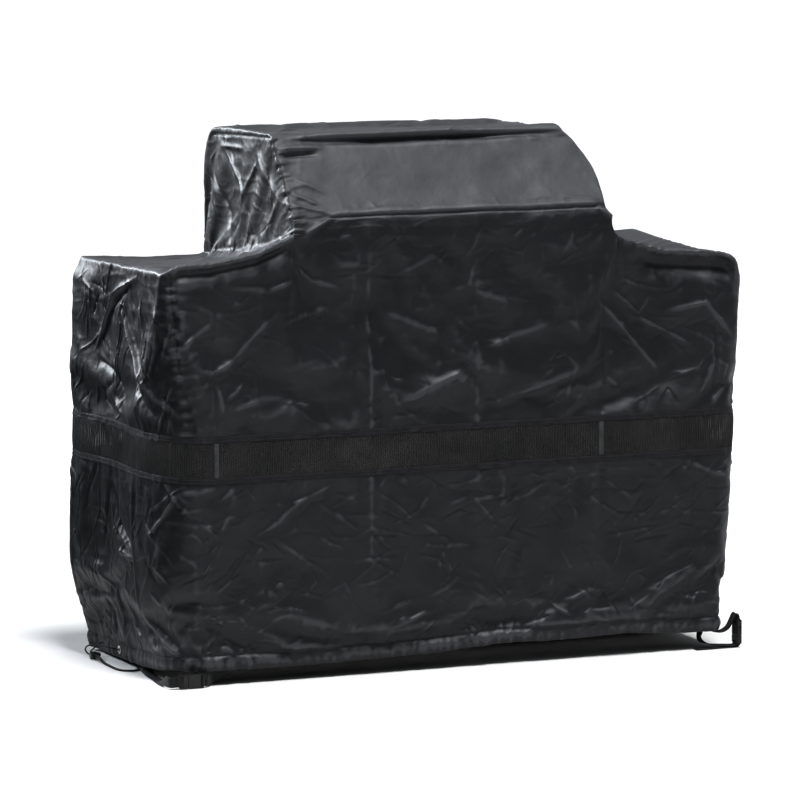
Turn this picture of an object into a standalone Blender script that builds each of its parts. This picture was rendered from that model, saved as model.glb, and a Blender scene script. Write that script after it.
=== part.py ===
"""Fitted cover for a wide grill: sewn fabric panels, a see-through vent band, a drawstring hem and leg straps.

Metres, +Z up. +X is the wearer's right seen from the front, the front faces -Y, and z = 0 is the floor on
which the strap buckles and the drawstring's tail lie. The hem hangs a few centimetres above it.
"""

import math

import bmesh
import bpy
from mathutils import Matrix, Vector

# ---------------------------------------------------------------- driving dimensions
WIDTH = 1.45
DEPTH = 0.60
CORNER_R = 0.06  # the plan's rounded corners
HEM_INSET = 0.028  # the skirt leans in this far from the vent down to the hem
SHELF_Z = 0.935
HOOD_TOP_Z = 1.25
HOOD_HALF = 0.41  # the raised tier spans this far each side of the centre
HOOD_BACK_SEAM_Z = 1.14
VENT_LOW_Z = 0.485
VENT_HIGH_Z = 0.580
CLOTH = 0.0015  # stand-in thickness of one layer
GAP = 0.0004  # between neighbouring panels
HEM_CHANNEL = 0.035  # height of the drawstring channel
CHANNEL_INSIDE = 0.0075  # space between its two layers
TAPE_HEIGHT = 0.014
TAPE_THICK = 0.0012
SEAM_X = 0.60  # the skirt's vertical seams, front and back
VENT_SEAM_X = 0.37  # the vent's right-hand join in the front
CLOSING_SEAM_Y = 0.167  # the skirt's closing seam in the left end
FLAT_SHELF = 0.08  # the shelf top is level this far in from the end, then climbs to the hood
SHOULDER_STOPS = (0.57, 0.49)  # places on that climb where the front and shelf panels bend
SHELF_RISE_BACK = 0.015
SHELF_RISE_FRONT = 0.105

# Hood profile, front to back, as (y, z) of the outer surface.
FRONT_FACE_Y = -DEPTH / 2
FRONT_PROFILE = [(FRONT_FACE_Y, VENT_HIGH_Z), (FRONT_FACE_Y, 0.95), (-0.283, 1.04), (-0.265, 1.085), (-0.13, HOOD_TOP_Z)]
HOOD_BACK_R = 0.10

# Height of the hem's lower edge above the floor at places round the cover: (x, y, height).
HEM_HEIGHTS = [
    (0.0, -0.30, 0.036),
    (-0.685, -0.30, 0.036),
    (-0.725, -0.26, 0.036),
    (-0.725, 0.08, 0.012),
    (-0.725, 0.26, 0.008),
    (-0.55, 0.30, 0.036),
    (0.685, 0.30, 0.036),
    (0.725, 0.26, 0.036),
    (0.725, -0.26, 0.044),
    (0.45, -0.30, 0.052),
    (0.12, -0.30, 0.050),
]

# Hardware
EYELET_Y = (0.104, 0.225)
EYELET_FLANGE_R = 0.0105
EYELET_HOLE_R = 0.0052
EYELET_TUBE_R = 0.0058
CORD_R = 0.00175
WEBBING = 0.025
WEBBING_THICK = 0.0015
MM = 0.001
BUCKLE_HALF_WIDTH = 16.5  # the buckle's own sizes are in millimetres
BUCKLE_HALF_THICK = 5.5
SOCKET_LENGTH = 38.0
PLUG_LENGTH = 20.0
PLUG_GAP = 0.4
BAR = 3.2
SLOT = 4.0
ARM_PIVOT = (-1.6, 9.5)


# ---------------------------------------------------------------- scene and materials
def clear_scene():
    for obj in list(bpy.data.objects):
        bpy.data.objects.remove(obj, do_unlink=True)


def collection(name):
    made = bpy.data.collections.new(name)
    bpy.context.scene.collection.children.link(made)
    return made


def material(name, colour, roughness, metallic=0.0):
    made = bpy.data.materials.new(name)
    made.use_nodes = True
    shader = made.node_tree.nodes["Principled BSDF"]
    shader.inputs["Base Color"].default_value = (*colour, 1.0)
    shader.inputs["Roughness"].default_value = roughness
    shader.inputs["Metallic"].default_value = metallic
    return made


clear_scene()
PARTS = collection("grill_cover")
CUTTERS = collection("cutters")
SHELL = material("shell_fabric", (0.022, 0.023, 0.027), 0.55)
MESH = material("vent_mesh", (0.03, 0.03, 0.032), 0.7)
TAPE = material("binding_tape", (0.018, 0.018, 0.021), 0.6)
STRAP = material("webbing", (0.012, 0.012, 0.013), 0.75)
BUCKLE = material("buckle_plastic", (0.015, 0.015, 0.016), 0.35)
NICKEL = material("nickel", (0.75, 0.74, 0.72), 0.22, 1.0)
CORD = material("drawstring", (0.02, 0.02, 0.021), 0.8)
LOCK = material("cord_lock_plastic", (0.03, 0.032, 0.032), 0.3)
STEEL = material("spring_steel", (0.6, 0.6, 0.6), 0.3, 1.0)


def put(name, mesh, mat, matrix=None, where=PARTS):
    """A named object for the mesh, at the given place."""
    obj = bpy.data.objects.new(name, mesh)
    if mat is not None and not mesh.materials:
        mesh.materials.append(mat)
    if matrix is not None:
        obj.matrix_world = matrix
    where.objects.link(obj)
    return obj


def mesh_from(name, bm):
    bmesh.ops.recalc_face_normals(bm, faces=bm.faces)
    if bm.calc_volume(signed=True) < 0:
        bmesh.ops.reverse_faces(bm, faces=bm.faces)
    mesh = bpy.data.meshes.new(name)
    bm.to_mesh(mesh)
    bm.free()
    return mesh


def loft(name, rings, closed=False, triangles=False):
    """A mesh through rings of points, each ring one section of the solid, capped at both ends unless closed.

    A loft that twists is made of triangles, so that every face is flat."""
    bm = bmesh.new()
    made = [[bm.verts.new(point) for point in ring] for ring in rings]
    pairs = list(zip(made, made[1:]))
    if closed:
        pairs.append((made[-1], made[0]))
    count = len(rings[0])
    for first, second in pairs:
        for i in range(count):
            j = (i + 1) % count
            bm.faces.new((first[i], first[j], second[j], second[i]))
    if not closed:
        bm.faces.new(made[0])
        bm.faces.new(made[-1])
    if triangles:
        bmesh.ops.triangulate(bm, faces=bm.faces)
    return mesh_from(name, bm)


def evaluated_mesh(obj, name):
    """The object's mesh with its modifiers, as a mesh of its own. The object is then removed."""
    bpy.context.view_layer.update()
    graph = bpy.context.evaluated_depsgraph_get()
    mesh = bpy.data.meshes.new_from_object(obj.evaluated_get(graph))
    mesh.name = name
    bpy.data.objects.remove(obj, do_unlink=True)
    return mesh


# ---------------------------------------------------------------- the plan outline
def outline_pieces():
    """The rounded rectangle as straights and arcs, from the front's centre towards -X: (kind, start or centre, turn, length)."""
    hx, hy, r = WIDTH / 2 - CORNER_R, DEPTH / 2 - CORNER_R, CORNER_R
    quarter = math.pi / 2
    return [
        ("line", (0.0, -DEPTH / 2), (-1, 0), hx),
        ("arc", (-hx, -hy), -quarter, r * quarter),
        ("line", (-WIDTH / 2, -hy), (0, 1), 2 * hy),
        ("arc", (-hx, hy), -2 * quarter, r * quarter),
        ("line", (-hx, DEPTH / 2), (1, 0), 2 * hx),
        ("arc", (hx, hy), -3 * quarter, r * quarter),
        ("line", (WIDTH / 2, hy), (0, -1), 2 * hy),
        ("arc", (hx, -hy), 0.0, r * quarter),
        ("line", (hx, -DEPTH / 2), (-1, 0), hx),
    ]


OUTLINE = outline_pieces()
PERIMETER = sum(piece[3] for piece in OUTLINE)
ARC_STEPS = 5


def along(distance):
    """The outline's point and outward direction at this distance round it."""
    left = min(max(distance, 0.0), PERIMETER)
    for kind, place, turn, length in OUTLINE:
        if left <= length + 1e-9:
            break
        left -= length
    if kind == "line":
        return Vector((place[0] + turn[0] * left, place[1] + turn[1] * left)), Vector((-turn[1], turn[0]))
    angle = turn - left / CORNER_R
    out = Vector((math.cos(angle), math.sin(angle)))
    return Vector(place) + out * CORNER_R, out


def distance_of(x, y):
    """How far round the outline its point nearest to (x, y) is."""
    step = PERIMETER / 400
    best = min((step * i for i in range(400)), key=lambda d: (along(d)[0] - Vector((x, y))).length)
    while step > 1e-7:
        step /= 2
        best = min((best - step, best, best + step), key=lambda d: (along(d)[0] - Vector((x, y))).length)
    return best


def stops_between(start, end):
    """Distances from start to end, with every corner step and every change of the hem's height between them."""
    found = {start, end}
    passed = 0.0
    for kind, _, _, length in OUTLINE:
        steps = ARC_STEPS if kind == "arc" else 1
        found |= {passed + length * i / steps for i in range(steps + 1)}
        passed += length
    found |= {d for d, _ in HEM_KNOTS}
    return sorted(d for d in found if start <= d <= end)


HEM_KNOTS = sorted((distance_of(x, y), height) for x, y, height in HEM_HEIGHTS)
HEM_KNOTS.append((PERIMETER, HEM_KNOTS[0][1]))


def hem_height(distance):
    for (d0, h0), (d1, h1) in zip(HEM_KNOTS, HEM_KNOTS[1:]):
        if d0 <= distance <= d1:
            return h0 + (h1 - h0) * (distance - d0) / (d1 - d0)
    return HEM_KNOTS[-1][1]


def sweep(name, start, end, section, closed=False):
    """A solid whose section, a list of (inset, z), follows the outline from start to end."""
    rings = []
    stops = stops_between(start, end)
    if closed:
        stops = stops[:-1]
    for stop in stops:
        point, out = along(stop)
        ring = section(stop)
        rings.append([(*(point - out * inset), z) for inset, z in ring])
    return loft(name, rings, closed)


def lean(z):
    """How far the skirt has leaned in at height z."""
    return HEM_INSET * max(VENT_LOW_Z - z, 0.0) / (VENT_LOW_Z - 0.036)


def wall_section(low, high, thick=CLOTH, outset=0.0):
    return lambda stop: [(-outset, high), (-outset, low), (thick - outset, low), (thick - outset, high)]


def hem_section(stop):
    """One layer down to the hem, turned up inside as the drawstring's channel."""
    low = hem_height(stop)
    inner = CLOTH + CHANNEL_INSIDE
    flat = [
        (0, VENT_LOW_Z - GAP),
        (0, low),
        (inner + CLOTH, low),
        (inner + CLOTH, low + HEM_CHANNEL),
        (inner, low + HEM_CHANNEL),
        (inner, low + CLOTH),
        (CLOTH, low + CLOTH),
        (CLOTH, VENT_LOW_Z - GAP),
    ]
    return [(inset + lean(z), z) for inset, z in flat]


# Places round the outline where pieces meet.
AT_FRONT_LEFT_SEAM = distance_of(-SEAM_X, -DEPTH / 2)
AT_FRONT_LEFT_CORNER = distance_of(-WIDTH / 2 + CORNER_R, -DEPTH / 2)
AT_LEFT_END = distance_of(-WIDTH / 2, -DEPTH / 2 + CORNER_R)
AT_CLOSING_SEAM = distance_of(-WIDTH / 2, CLOSING_SEAM_Y)
AT_BACK_LEFT_CORNER = distance_of(-WIDTH / 2 + CORNER_R, DEPTH / 2)
AT_BACK_LEFT_SEAM = distance_of(-SEAM_X, DEPTH / 2)
AT_BACK_RIGHT_SEAM = distance_of(SEAM_X, DEPTH / 2)
AT_BACK_RIGHT_CORNER = distance_of(WIDTH / 2 - CORNER_R, DEPTH / 2)
AT_FRONT_RIGHT_CORNER = distance_of(WIDTH / 2 - CORNER_R, -DEPTH / 2)
AT_FRONT_RIGHT_SEAM = distance_of(SEAM_X, -DEPTH / 2)
AT_VENT_SEAM = distance_of(VENT_SEAM_X, -DEPTH / 2)


def straight_front(name, left_x, right_x, section):
    """A front piece between two x, whose section is read at each change of the hem's height."""
    knots = [x for x, y, _ in HEM_HEIGHTS if y == -DEPTH / 2 and left_x < x < right_x]
    rings = []
    for x in sorted([left_x, *knots, right_x]):
        stop = distance_of(x, -DEPTH / 2)
        rings.append([(x, -DEPTH / 2 + inset, z) for inset, z in section(stop)])
    return loft(name, rings)


# ---------------------------------------------------------------- band, skirt and tapes
def make_vents():
    section = wall_section(VENT_LOW_Z, VENT_HIGH_Z)
    spans = {
        "left_end_vent_mesh": (AT_LEFT_END, AT_BACK_LEFT_CORNER),
        "back_vent_mesh": (AT_BACK_LEFT_CORNER, AT_BACK_RIGHT_CORNER),
        "right_end_vent_mesh": (AT_BACK_RIGHT_CORNER, AT_FRONT_RIGHT_CORNER),
        "front_right_vent_mesh": (AT_FRONT_RIGHT_CORNER, AT_VENT_SEAM),
        "front_left_vent_mesh": (AT_FRONT_LEFT_SEAM, AT_LEFT_END),
    }
    for name, (start, end) in spans.items():
        put(name, sweep(name, start + GAP / 2, end - GAP / 2, section), MESH)
    name = "front_centre_vent_mesh"
    put(name, straight_front(name, -SEAM_X + GAP / 2, VENT_SEAM_X - GAP / 2, section), MESH)


def make_skirt():
    left_front = "left_front_skirt_panel"
    left_back = "left_back_skirt_panel"
    spans = {
        left_front: (AT_FRONT_LEFT_SEAM, AT_CLOSING_SEAM),
        left_back: (AT_CLOSING_SEAM, AT_BACK_LEFT_SEAM),
        "back_skirt_panel": (AT_BACK_LEFT_SEAM, AT_BACK_RIGHT_SEAM),
        "right_end_skirt_panel": (AT_BACK_RIGHT_SEAM, AT_FRONT_RIGHT_SEAM),
    }
    for name, (start, end) in spans.items():
        put(name, sweep(name, start + GAP / 2, end - GAP / 2, hem_section), SHELL)
    name = "front_skirt_panel"
    put(name, straight_front(name, -SEAM_X + GAP / 2, SEAM_X - GAP / 2, hem_section), SHELL)
    for node, y in zip((left_front, left_back), EYELET_Y):
        hole = round_cutter(node + "_eyelet_hole", EYELET_TUBE_R + 0.0003, 0.006, eyelet_centre(y))
        cut(bpy.data.objects[node], hole)


def make_tapes():
    for name, middle in (("upper_vent_binding", VENT_HIGH_Z), ("lower_vent_binding", VENT_LOW_Z)):
        section = wall_section(middle - TAPE_HEIGHT / 2, middle + TAPE_HEIGHT / 2, TAPE_THICK, TAPE_THICK + GAP)
        put(name, sweep(name, 0.0, PERIMETER, section, closed=True), TAPE)


# ---------------------------------------------------------------- upper panels
def front_y(z):
    """The front surface's y at height z."""
    for (y0, z0), (y1, z1) in zip(FRONT_PROFILE, FRONT_PROFILE[1:]):
        if z0 <= z <= z1:
            return y0 + (y1 - y0) * (z - z0) / (z1 - z0)
    return FRONT_PROFILE[-1][0]


def shelf_z(x, y):
    """The shelf top's height: level near the end, then climbing to the hood, more in front than behind."""
    level_to = WIDTH / 2 - FLAT_SHELF
    share = min(max((level_to - abs(x)) / (level_to - HOOD_HALF), 0.0), 1.0)
    forward = (DEPTH / 2 - y) / DEPTH
    return SHELF_Z + share * (SHELF_RISE_BACK + (SHELF_RISE_FRONT - SHELF_RISE_BACK) * forward)


def sheet_from(name, columns, thick, mat):
    """A thin solid from columns of points, neighbours sharing as many rows as the shorter has. It is as thick inwards as given."""
    bm = bmesh.new()
    made = [[bm.verts.new(point) for point in column] for column in columns]
    for first, second in zip(made, made[1:]):
        for k in range(min(len(first), len(second)) - 1):
            bm.faces.new((first[k], second[k], second[k + 1], first[k + 1]))
    mesh = bpy.data.meshes.new(name)
    bm.to_mesh(mesh)
    bm.free()
    obj = put(name, mesh, mat)
    solid = obj.modifiers.new("thickness", "SOLIDIFY")
    solid.thickness = thick
    solid.offset = -1.0
    solid.use_even_offset = True
    return obj


def t_columns(face_y, shoulder_y, upper_rows, sides):
    """Columns of a panel that is wide below the shelves and narrow in the hood."""
    right = [HOOD_HALF, *SHOULDER_STOPS[::-1], WIDTH / 2 - FLAT_SHELF, WIDTH / 2 - CORNER_R - GAP / 2]
    columns = []
    for x in [-x for x in right[::-1]] + right:
        top = shelf_z(x, shoulder_y)
        bend = min(FRONT_PROFILE[1][1], top - 0.006)
        column = [(x, face_y(z), z) for z in (VENT_HIGH_Z + GAP, 0.76, bend, top)]
        if abs(x) <= HOOD_HALF:
            column += [(x, face_y(z), z) for z in upper_rows]
        columns.append(column)
    return columns if sides > 0 else columns[::-1]


def make_front_and_back():
    front_rows = [1.085, 1.165, HOOD_TOP_Z]
    sheet_from("front_upper_panel", t_columns(front_y, -DEPTH / 2, front_rows, 1), CLOTH, SHELL)
    back_rows = [HOOD_BACK_SEAM_Z]
    sheet_from("back_upper_panel", t_columns(lambda z: DEPTH / 2, DEPTH / 2, back_rows, -1), CLOTH, SHELL)


def hood_back_curve(inset=0.0):
    """The hood's rounded upper back edge, from level to upright."""
    steps = 6
    r = HOOD_BACK_R
    centre_y, centre_z = DEPTH / 2 - r, HOOD_TOP_Z - r
    points = []
    for i in range(steps + 1):
        angle = math.pi / 2 * (1 - i / steps)
        points.append((centre_y + (r - inset) * math.cos(angle), centre_z + (r - inset) * math.sin(angle)))
    return points


def make_hood_top():
    """The hood's top, thinner along both ends so that its flat inner face stays between the end walls."""
    start_y = FRONT_PROFILE[-1][0] + 0.002
    drop = HOOD_TOP_Z - HOOD_BACK_R - HOOD_BACK_SEAM_Z - GAP
    outer = [(start_y, HOOD_TOP_Z), *hood_back_curve(), (DEPTH / 2, HOOD_TOP_Z - HOOD_BACK_R - drop)]
    rings = []
    thin = CLOTH * 0.6
    edge = 2 * CLOTH
    for x, thick in ((-HOOD_HALF, thin), (edge - HOOD_HALF, CLOTH), (HOOD_HALF - edge, CLOTH), (HOOD_HALF, thin)):
        inner = [(start_y + 0.004, HOOD_TOP_Z - thick), *hood_back_curve(thick)]
        inner.append((DEPTH / 2 - thick, HOOD_TOP_Z - HOOD_BACK_R - drop))
        rings.append([(x, y, z) for y, z in outer + inner[::-1]])
    put("hood_top_panel", loft("hood_top_panel", rings), SHELL)


def make_hood_sides():
    """The end walls of the hood, just inside the panels round them."""
    clear = CLOTH + GAP
    slope = Vector((FRONT_PROFILE[-1][0] - FRONT_PROFILE[-2][0], FRONT_PROFILE[-1][1] - FRONT_PROFILE[-2][1])).normalized()
    aside = Vector((slope.y, -slope.x)) * clear
    drop = 0.010
    low_front_z = shelf_z(HOOD_HALF, -DEPTH / 2) - drop
    low_back_z = shelf_z(HOOD_HALF, DEPTH / 2) - drop
    outline = [
        (front_y(low_front_z) + clear + 0.0005, low_front_z),
        (FRONT_PROFILE[-2][0] + aside.x + 0.0008, FRONT_PROFILE[-2][1] + aside.y),
        (FRONT_PROFILE[-1][0] + aside.x + 0.0012, HOOD_TOP_Z - clear - 0.0005),
        *hood_back_curve(clear),
        (DEPTH / 2 - clear, low_back_z),
    ]
    for name, side in (("hood_left_side_panel", -1), ("hood_right_side_panel", 1)):
        rings = [[(side * x, y, z) for y, z in outline] for x in (HOOD_HALF, HOOD_HALF - CLOTH)]
        put(name, loft(name, rings), SHELL)


def make_shelf_tops():
    """Each shelf top lies over its end wall and between the front and back panels."""
    hx, r = WIDTH / 2 - CORNER_R, CORNER_R
    arc = [hx + r * math.sin(math.pi / 2 * i / ARC_STEPS) for i in range(ARC_STEPS, 0, -1)]
    places = [*arc, hx, WIDTH / 2 - FLAT_SHELF, *SHOULDER_STOPS, HOOD_HALF + 3 * GAP]
    rows = 6
    clear = CLOTH + GAP
    for name, side in (("left_shelf_top_panel", -1), ("right_shelf_top_panel", 1)):
        columns = []
        for x in places:
            past = max(x - hx, 0.0)
            short = r - math.sqrt(max(r * r - past * past, 0.0))
            low_y = front_y(shelf_z(x, -DEPTH / 2)) + clear + short
            high_y = DEPTH / 2 - clear - short
            column = []
            for k in range(rows + 1):
                y = low_y + (high_y - low_y) * k / rows
                column.append((side * x, y, shelf_z(x, y)))
            columns.append(column)
        sheet_from(name, columns if side < 0 else columns[::-1], CLOTH, SHELL)


def make_ends():
    section = wall_section(VENT_HIGH_Z + GAP, SHELF_Z - CLOTH - GAP)
    spans = {
        "left_end_upper_panel": (AT_FRONT_LEFT_CORNER, AT_BACK_LEFT_CORNER),
        "right_end_upper_panel": (AT_BACK_RIGHT_CORNER, AT_FRONT_RIGHT_CORNER),
    }
    for name, (start, end) in spans.items():
        put(name, sweep(name, start + GAP / 2, end - GAP / 2, section), SHELL)


# ---------------------------------------------------------------- cutters
def cut(obj, cutter):
    modifier = obj.modifiers.new(cutter.name, "BOOLEAN")
    modifier.operation = "DIFFERENCE"
    modifier.solver = "EXACT"
    modifier.object = cutter


def hide_cutter(obj):
    obj.hide_render = True
    obj.display_type = "WIRE"
    return obj


def round_cutter(name, radius, length, centre):
    """A cylinder along X."""
    bm = bmesh.new()
    bmesh.ops.create_cone(bm, cap_ends=True, segments=24, radius1=radius, radius2=radius, depth=length)
    bmesh.ops.rotate(bm, verts=bm.verts, matrix=Matrix.Rotation(math.pi / 2, 3, "Y"))
    return hide_cutter(put(name, mesh_from(name, bm), None, Matrix.Translation(centre), CUTTERS))


def block(name, low, high, where=CUTTERS):
    """A box between two corners."""
    bm = bmesh.new()
    bmesh.ops.create_cube(bm, size=1.0)
    low, high = Vector(low), Vector(high)
    for vert in bm.verts:
        vert.co = Vector([(low[i] + high[i]) / 2 + vert.co[i] * (high[i] - low[i]) for i in range(3)])
    return put(name, mesh_from(name, bm), None, None, where)


def turned(name, profile, mat, matrix, steps=24):
    """A solid of revolution about local Z. The profile, (radius, z), runs down the outer side and closes on itself."""
    bm = bmesh.new()
    verts = [bm.verts.new((radius, 0, z)) for radius, z in profile]
    for first, second in zip(verts, verts[1:] + verts[:1]):
        bm.edges.new((first, second))
    mesh = bpy.data.meshes.new(name)
    bm.to_mesh(mesh)
    bm.free()
    obj = put(name, mesh, mat, matrix)
    screw = obj.modifiers.new("turn", "SCREW")
    screw.axis = "Z"
    screw.steps = steps
    screw.render_steps = steps
    screw.use_merge_vertices = True
    screw.merge_threshold = 0.00001
    return obj


# ---------------------------------------------------------------- eyelets and drawstring
def eyelet_centre(y):
    stop = distance_of(-WIDTH / 2, y)
    z = hem_height(stop) + HEM_CHANNEL / 2
    return Vector((-WIDTH / 2 + lean(z), y, z))


def make_eyelets():
    """Each eyelet is a flanged tube through the outer layer and a washer behind it."""
    outward = Matrix.Rotation(-math.pi / 2 - math.atan(HEM_INSET / (VENT_LOW_Z - 0.036)), 4, "Y")
    flange, tube, hole = EYELET_FLANGE_R, EYELET_TUBE_R, EYELET_HOLE_R
    behind = -CLOTH - 0.0009
    grommet = [(hole, 0.0010), (flange, 0.0007), (flange, 0.0003), (tube, 0.0003), (tube, behind), (hole, behind)]
    washer_far, washer_near = -CLOTH - 0.0009, -CLOTH - 0.0003
    washer = [(tube + 0.0003, washer_near), (flange, washer_near), (flange, washer_far), (tube + 0.0003, washer_far)]
    for name, y in zip(("front_eyelet", "back_eyelet"), EYELET_Y):
        place = Matrix.Translation(eyelet_centre(y)) @ outward
        turned(name, grommet, NICKEL, place)
        turned(name + "_washer", washer, NICKEL, place)


def smooth_through(points, per_span):
    """Points on a smooth curve through the given ones."""
    points = [Vector(p) for p in points]
    padded = [2 * points[0] - points[1], *points, 2 * points[-1] - points[-2]]
    found = []
    for i in range(1, len(padded) - 2):
        a, b, c, d = padded[i - 1 : i + 3]
        for k in range(per_span):
            t = k / per_span
            found.append(
                0.5 * (2 * b + (c - a) * t + (2 * a - 5 * b + 4 * c - d) * t * t + (3 * b - a - 3 * c + d) * t**3)
            )
    found.append(points[-1])
    return found


def tube(name, points, radius, mat):
    curve = bpy.data.curves.new(name, "CURVE")
    curve.dimensions = "3D"
    spline = curve.splines.new("POLY")
    spline.points.add(len(points) - 1)
    for target, point in zip(spline.points, points):
        target.co = (*point, 1.0)
    curve.bevel_depth = radius
    curve.bevel_resolution = 2
    curve.use_fill_caps = True
    curve.materials.append(mat)
    obj = bpy.data.objects.new(name, curve)
    PARTS.objects.link(obj)
    return obj


CORD_INSET = CLOTH + 0.0045  # the drawstring's line inside the channel


def hem_cord_point(distance):
    point, out = along(distance)
    z = hem_height(distance) + HEM_CHANNEL / 2
    at = point - out * (CORD_INSET + lean(z))
    return Vector((at.x, at.y, z))


LOCK_Y = 0.160
LOCK_X = -0.7410  # the strands' line through the lock, which lies on its side with its axis along X
LOCK_CORD_Z = 0.0096
STRAND_APART = 0.0020  # each strand runs this far from the lock's middle
KNOT = Vector((-0.672, 0.020, 0.0050))


TAIL_ROUTE = [
    (LOCK_X, 0.1740, LOCK_CORD_Z),
    (LOCK_X, LOCK_Y, LOCK_CORD_Z),
    (LOCK_X, 0.1400, LOCK_CORD_Z),
    (LOCK_X + 0.0002, 0.1200, 0.0088),
    (LOCK_X + 0.0010, 0.1030, 0.0048),
    (LOCK_X + 0.0018, 0.0850, 0.0021),
    (LOCK_X + 0.0020, 0.0500, 0.0019),
    (LOCK_X + 0.0030, 0.0160, 0.0019),
    (LOCK_X + 0.0090, -0.0100, 0.0019),
    (-0.7170, -0.0230, 0.0019),
    (-0.7010, -0.0230, 0.0019),
    (-0.6880, -0.0120, 0.0021),
    (KNOT.x - 0.0045, KNOT.y - 0.0060, 0.0036),
]


def beside(points, offset, upright_to):
    """A line this far from the given one: above it at the start, turning to its left by point number upright_to."""
    found = []
    for i, point in enumerate(points):
        ahead = points[min(i + 1, len(points) - 1)] - points[max(i - 1, 0)]
        ahead.z = 0
        ahead.normalize()
        turn = math.pi / 2 * max(1 - max(i - 4, 0) / (upright_to - 4), 0)
        aside = Vector((-ahead.y, ahead.x, 0)) * math.cos(turn) + Vector((0, 0, 1)) * math.sin(turn)
        found.append(point + aside * offset)
    return found


def strand_points(y, side):
    """A free end: out of its eyelet, through the lock and along the floor to the knot."""
    eyelet = eyelet_centre(y)
    inwards = 1 if y > LOCK_Y else -1
    x, z = eyelet.x, eyelet.z
    line = LOCK_X
    high = side * STRAND_APART
    out = [
        (x + CORD_INSET, y + inwards * 0.0125, z),
        (x + 0.0059, y + inwards * 0.0090, z),
        (x + 0.0049, y + inwards * 0.0050, z),
        (x + 0.0026, y + inwards * 0.0018, z),
        (x - 0.0003, y - inwards * 0.0008, z),
        (x - 0.0050, y - inwards * 0.0038, z - 0.0004),
    ]
    if inwards > 0:
        out += [
            (x - 0.0180, y - 0.0110, z - 0.0040),
            (x - 0.0320, y - 0.0230, z - 0.0100),
            (line + 0.0010, 0.1870, LOCK_CORD_Z + high + 0.0010),
        ]
    else:
        out += [
            (x - 0.0150, 0.1050, 0.0330),
            (x - 0.0260, 0.1220, 0.0340),
            (x - 0.0330, 0.1450, 0.0350),
            (x - 0.0400, 0.1700, 0.0330),
            (x - 0.0500, 0.1930, 0.0260),
            (line - 0.0060, 0.2030, 0.0150),
            (line - 0.0020, 0.1920, LOCK_CORD_Z + high - 0.0004),
        ]
    tail = beside(smooth_through(TAIL_ROUTE, 3), side * STRAND_APART, 12)
    return smooth_through([*out, tail[0]], 3)[:-1] + tail


def make_drawstring():
    start = distance_of(-WIDTH / 2, EYELET_Y[1] + 0.0130)
    end = PERIMETER + distance_of(-WIDTH / 2, EYELET_Y[0] - 0.0130)
    steps = 78
    stops = {start, end}
    passed = 0.0
    for lap in (0.0, PERIMETER):
        passed = lap
        for kind, _, _, length in OUTLINE:
            steps = 6 if kind == "arc" else 1
            stops |= {passed + length * i / steps for i in range(steps + 1)}
            passed += length
        stops |= {lap + d for d, _ in HEM_KNOTS}
    inside = sorted(round(d, 5) for d in stops if start - 1e-9 <= d <= end + 1e-9)
    apart = [inside[0]]
    for d in inside[1:]:
        if d - apart[-1] > 0.004:
            apart.append(d)
    tube("hem_drawstring", [hem_cord_point(d % PERIMETER) for d in apart], CORD_R, CORD)
    for name, y, side in (("drawstring_front_end", EYELET_Y[0], -1), ("drawstring_back_end", EYELET_Y[1], 1)):
        tube(name, strand_points(y, side), CORD_R, CORD)
    bm = bmesh.new()
    bmesh.ops.create_uvsphere(bm, u_segments=14, v_segments=9, radius=0.0047)
    for vert in bm.verts:
        vert.co.x *= 1.15
        vert.co.z *= 0.95
    put("drawstring_knot", mesh_from("drawstring_knot", bm), CORD, Matrix.Translation(KNOT))


# ---------------------------------------------------------------- cord lock
LOCK_R = 9.0 * MM
LOCK_HEIGHT = 16.5 * MM
LOCK_BORE_R = 6.6 * MM
LOCK_FLOOR = 2.0 * MM
STEM_R = 6.2 * MM
LOCK_TRAVEL = 3.0 * MM
LOCK_AXIS_Z = LOCK_R + 0.0004
LOCK_PASSAGE = 9.4 * MM  # the passage's middle, from the barrel's base
PASSAGE_HALF_X = 4.4 * MM
PASSAGE_HALF_Z = 2.3 * MM


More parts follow.
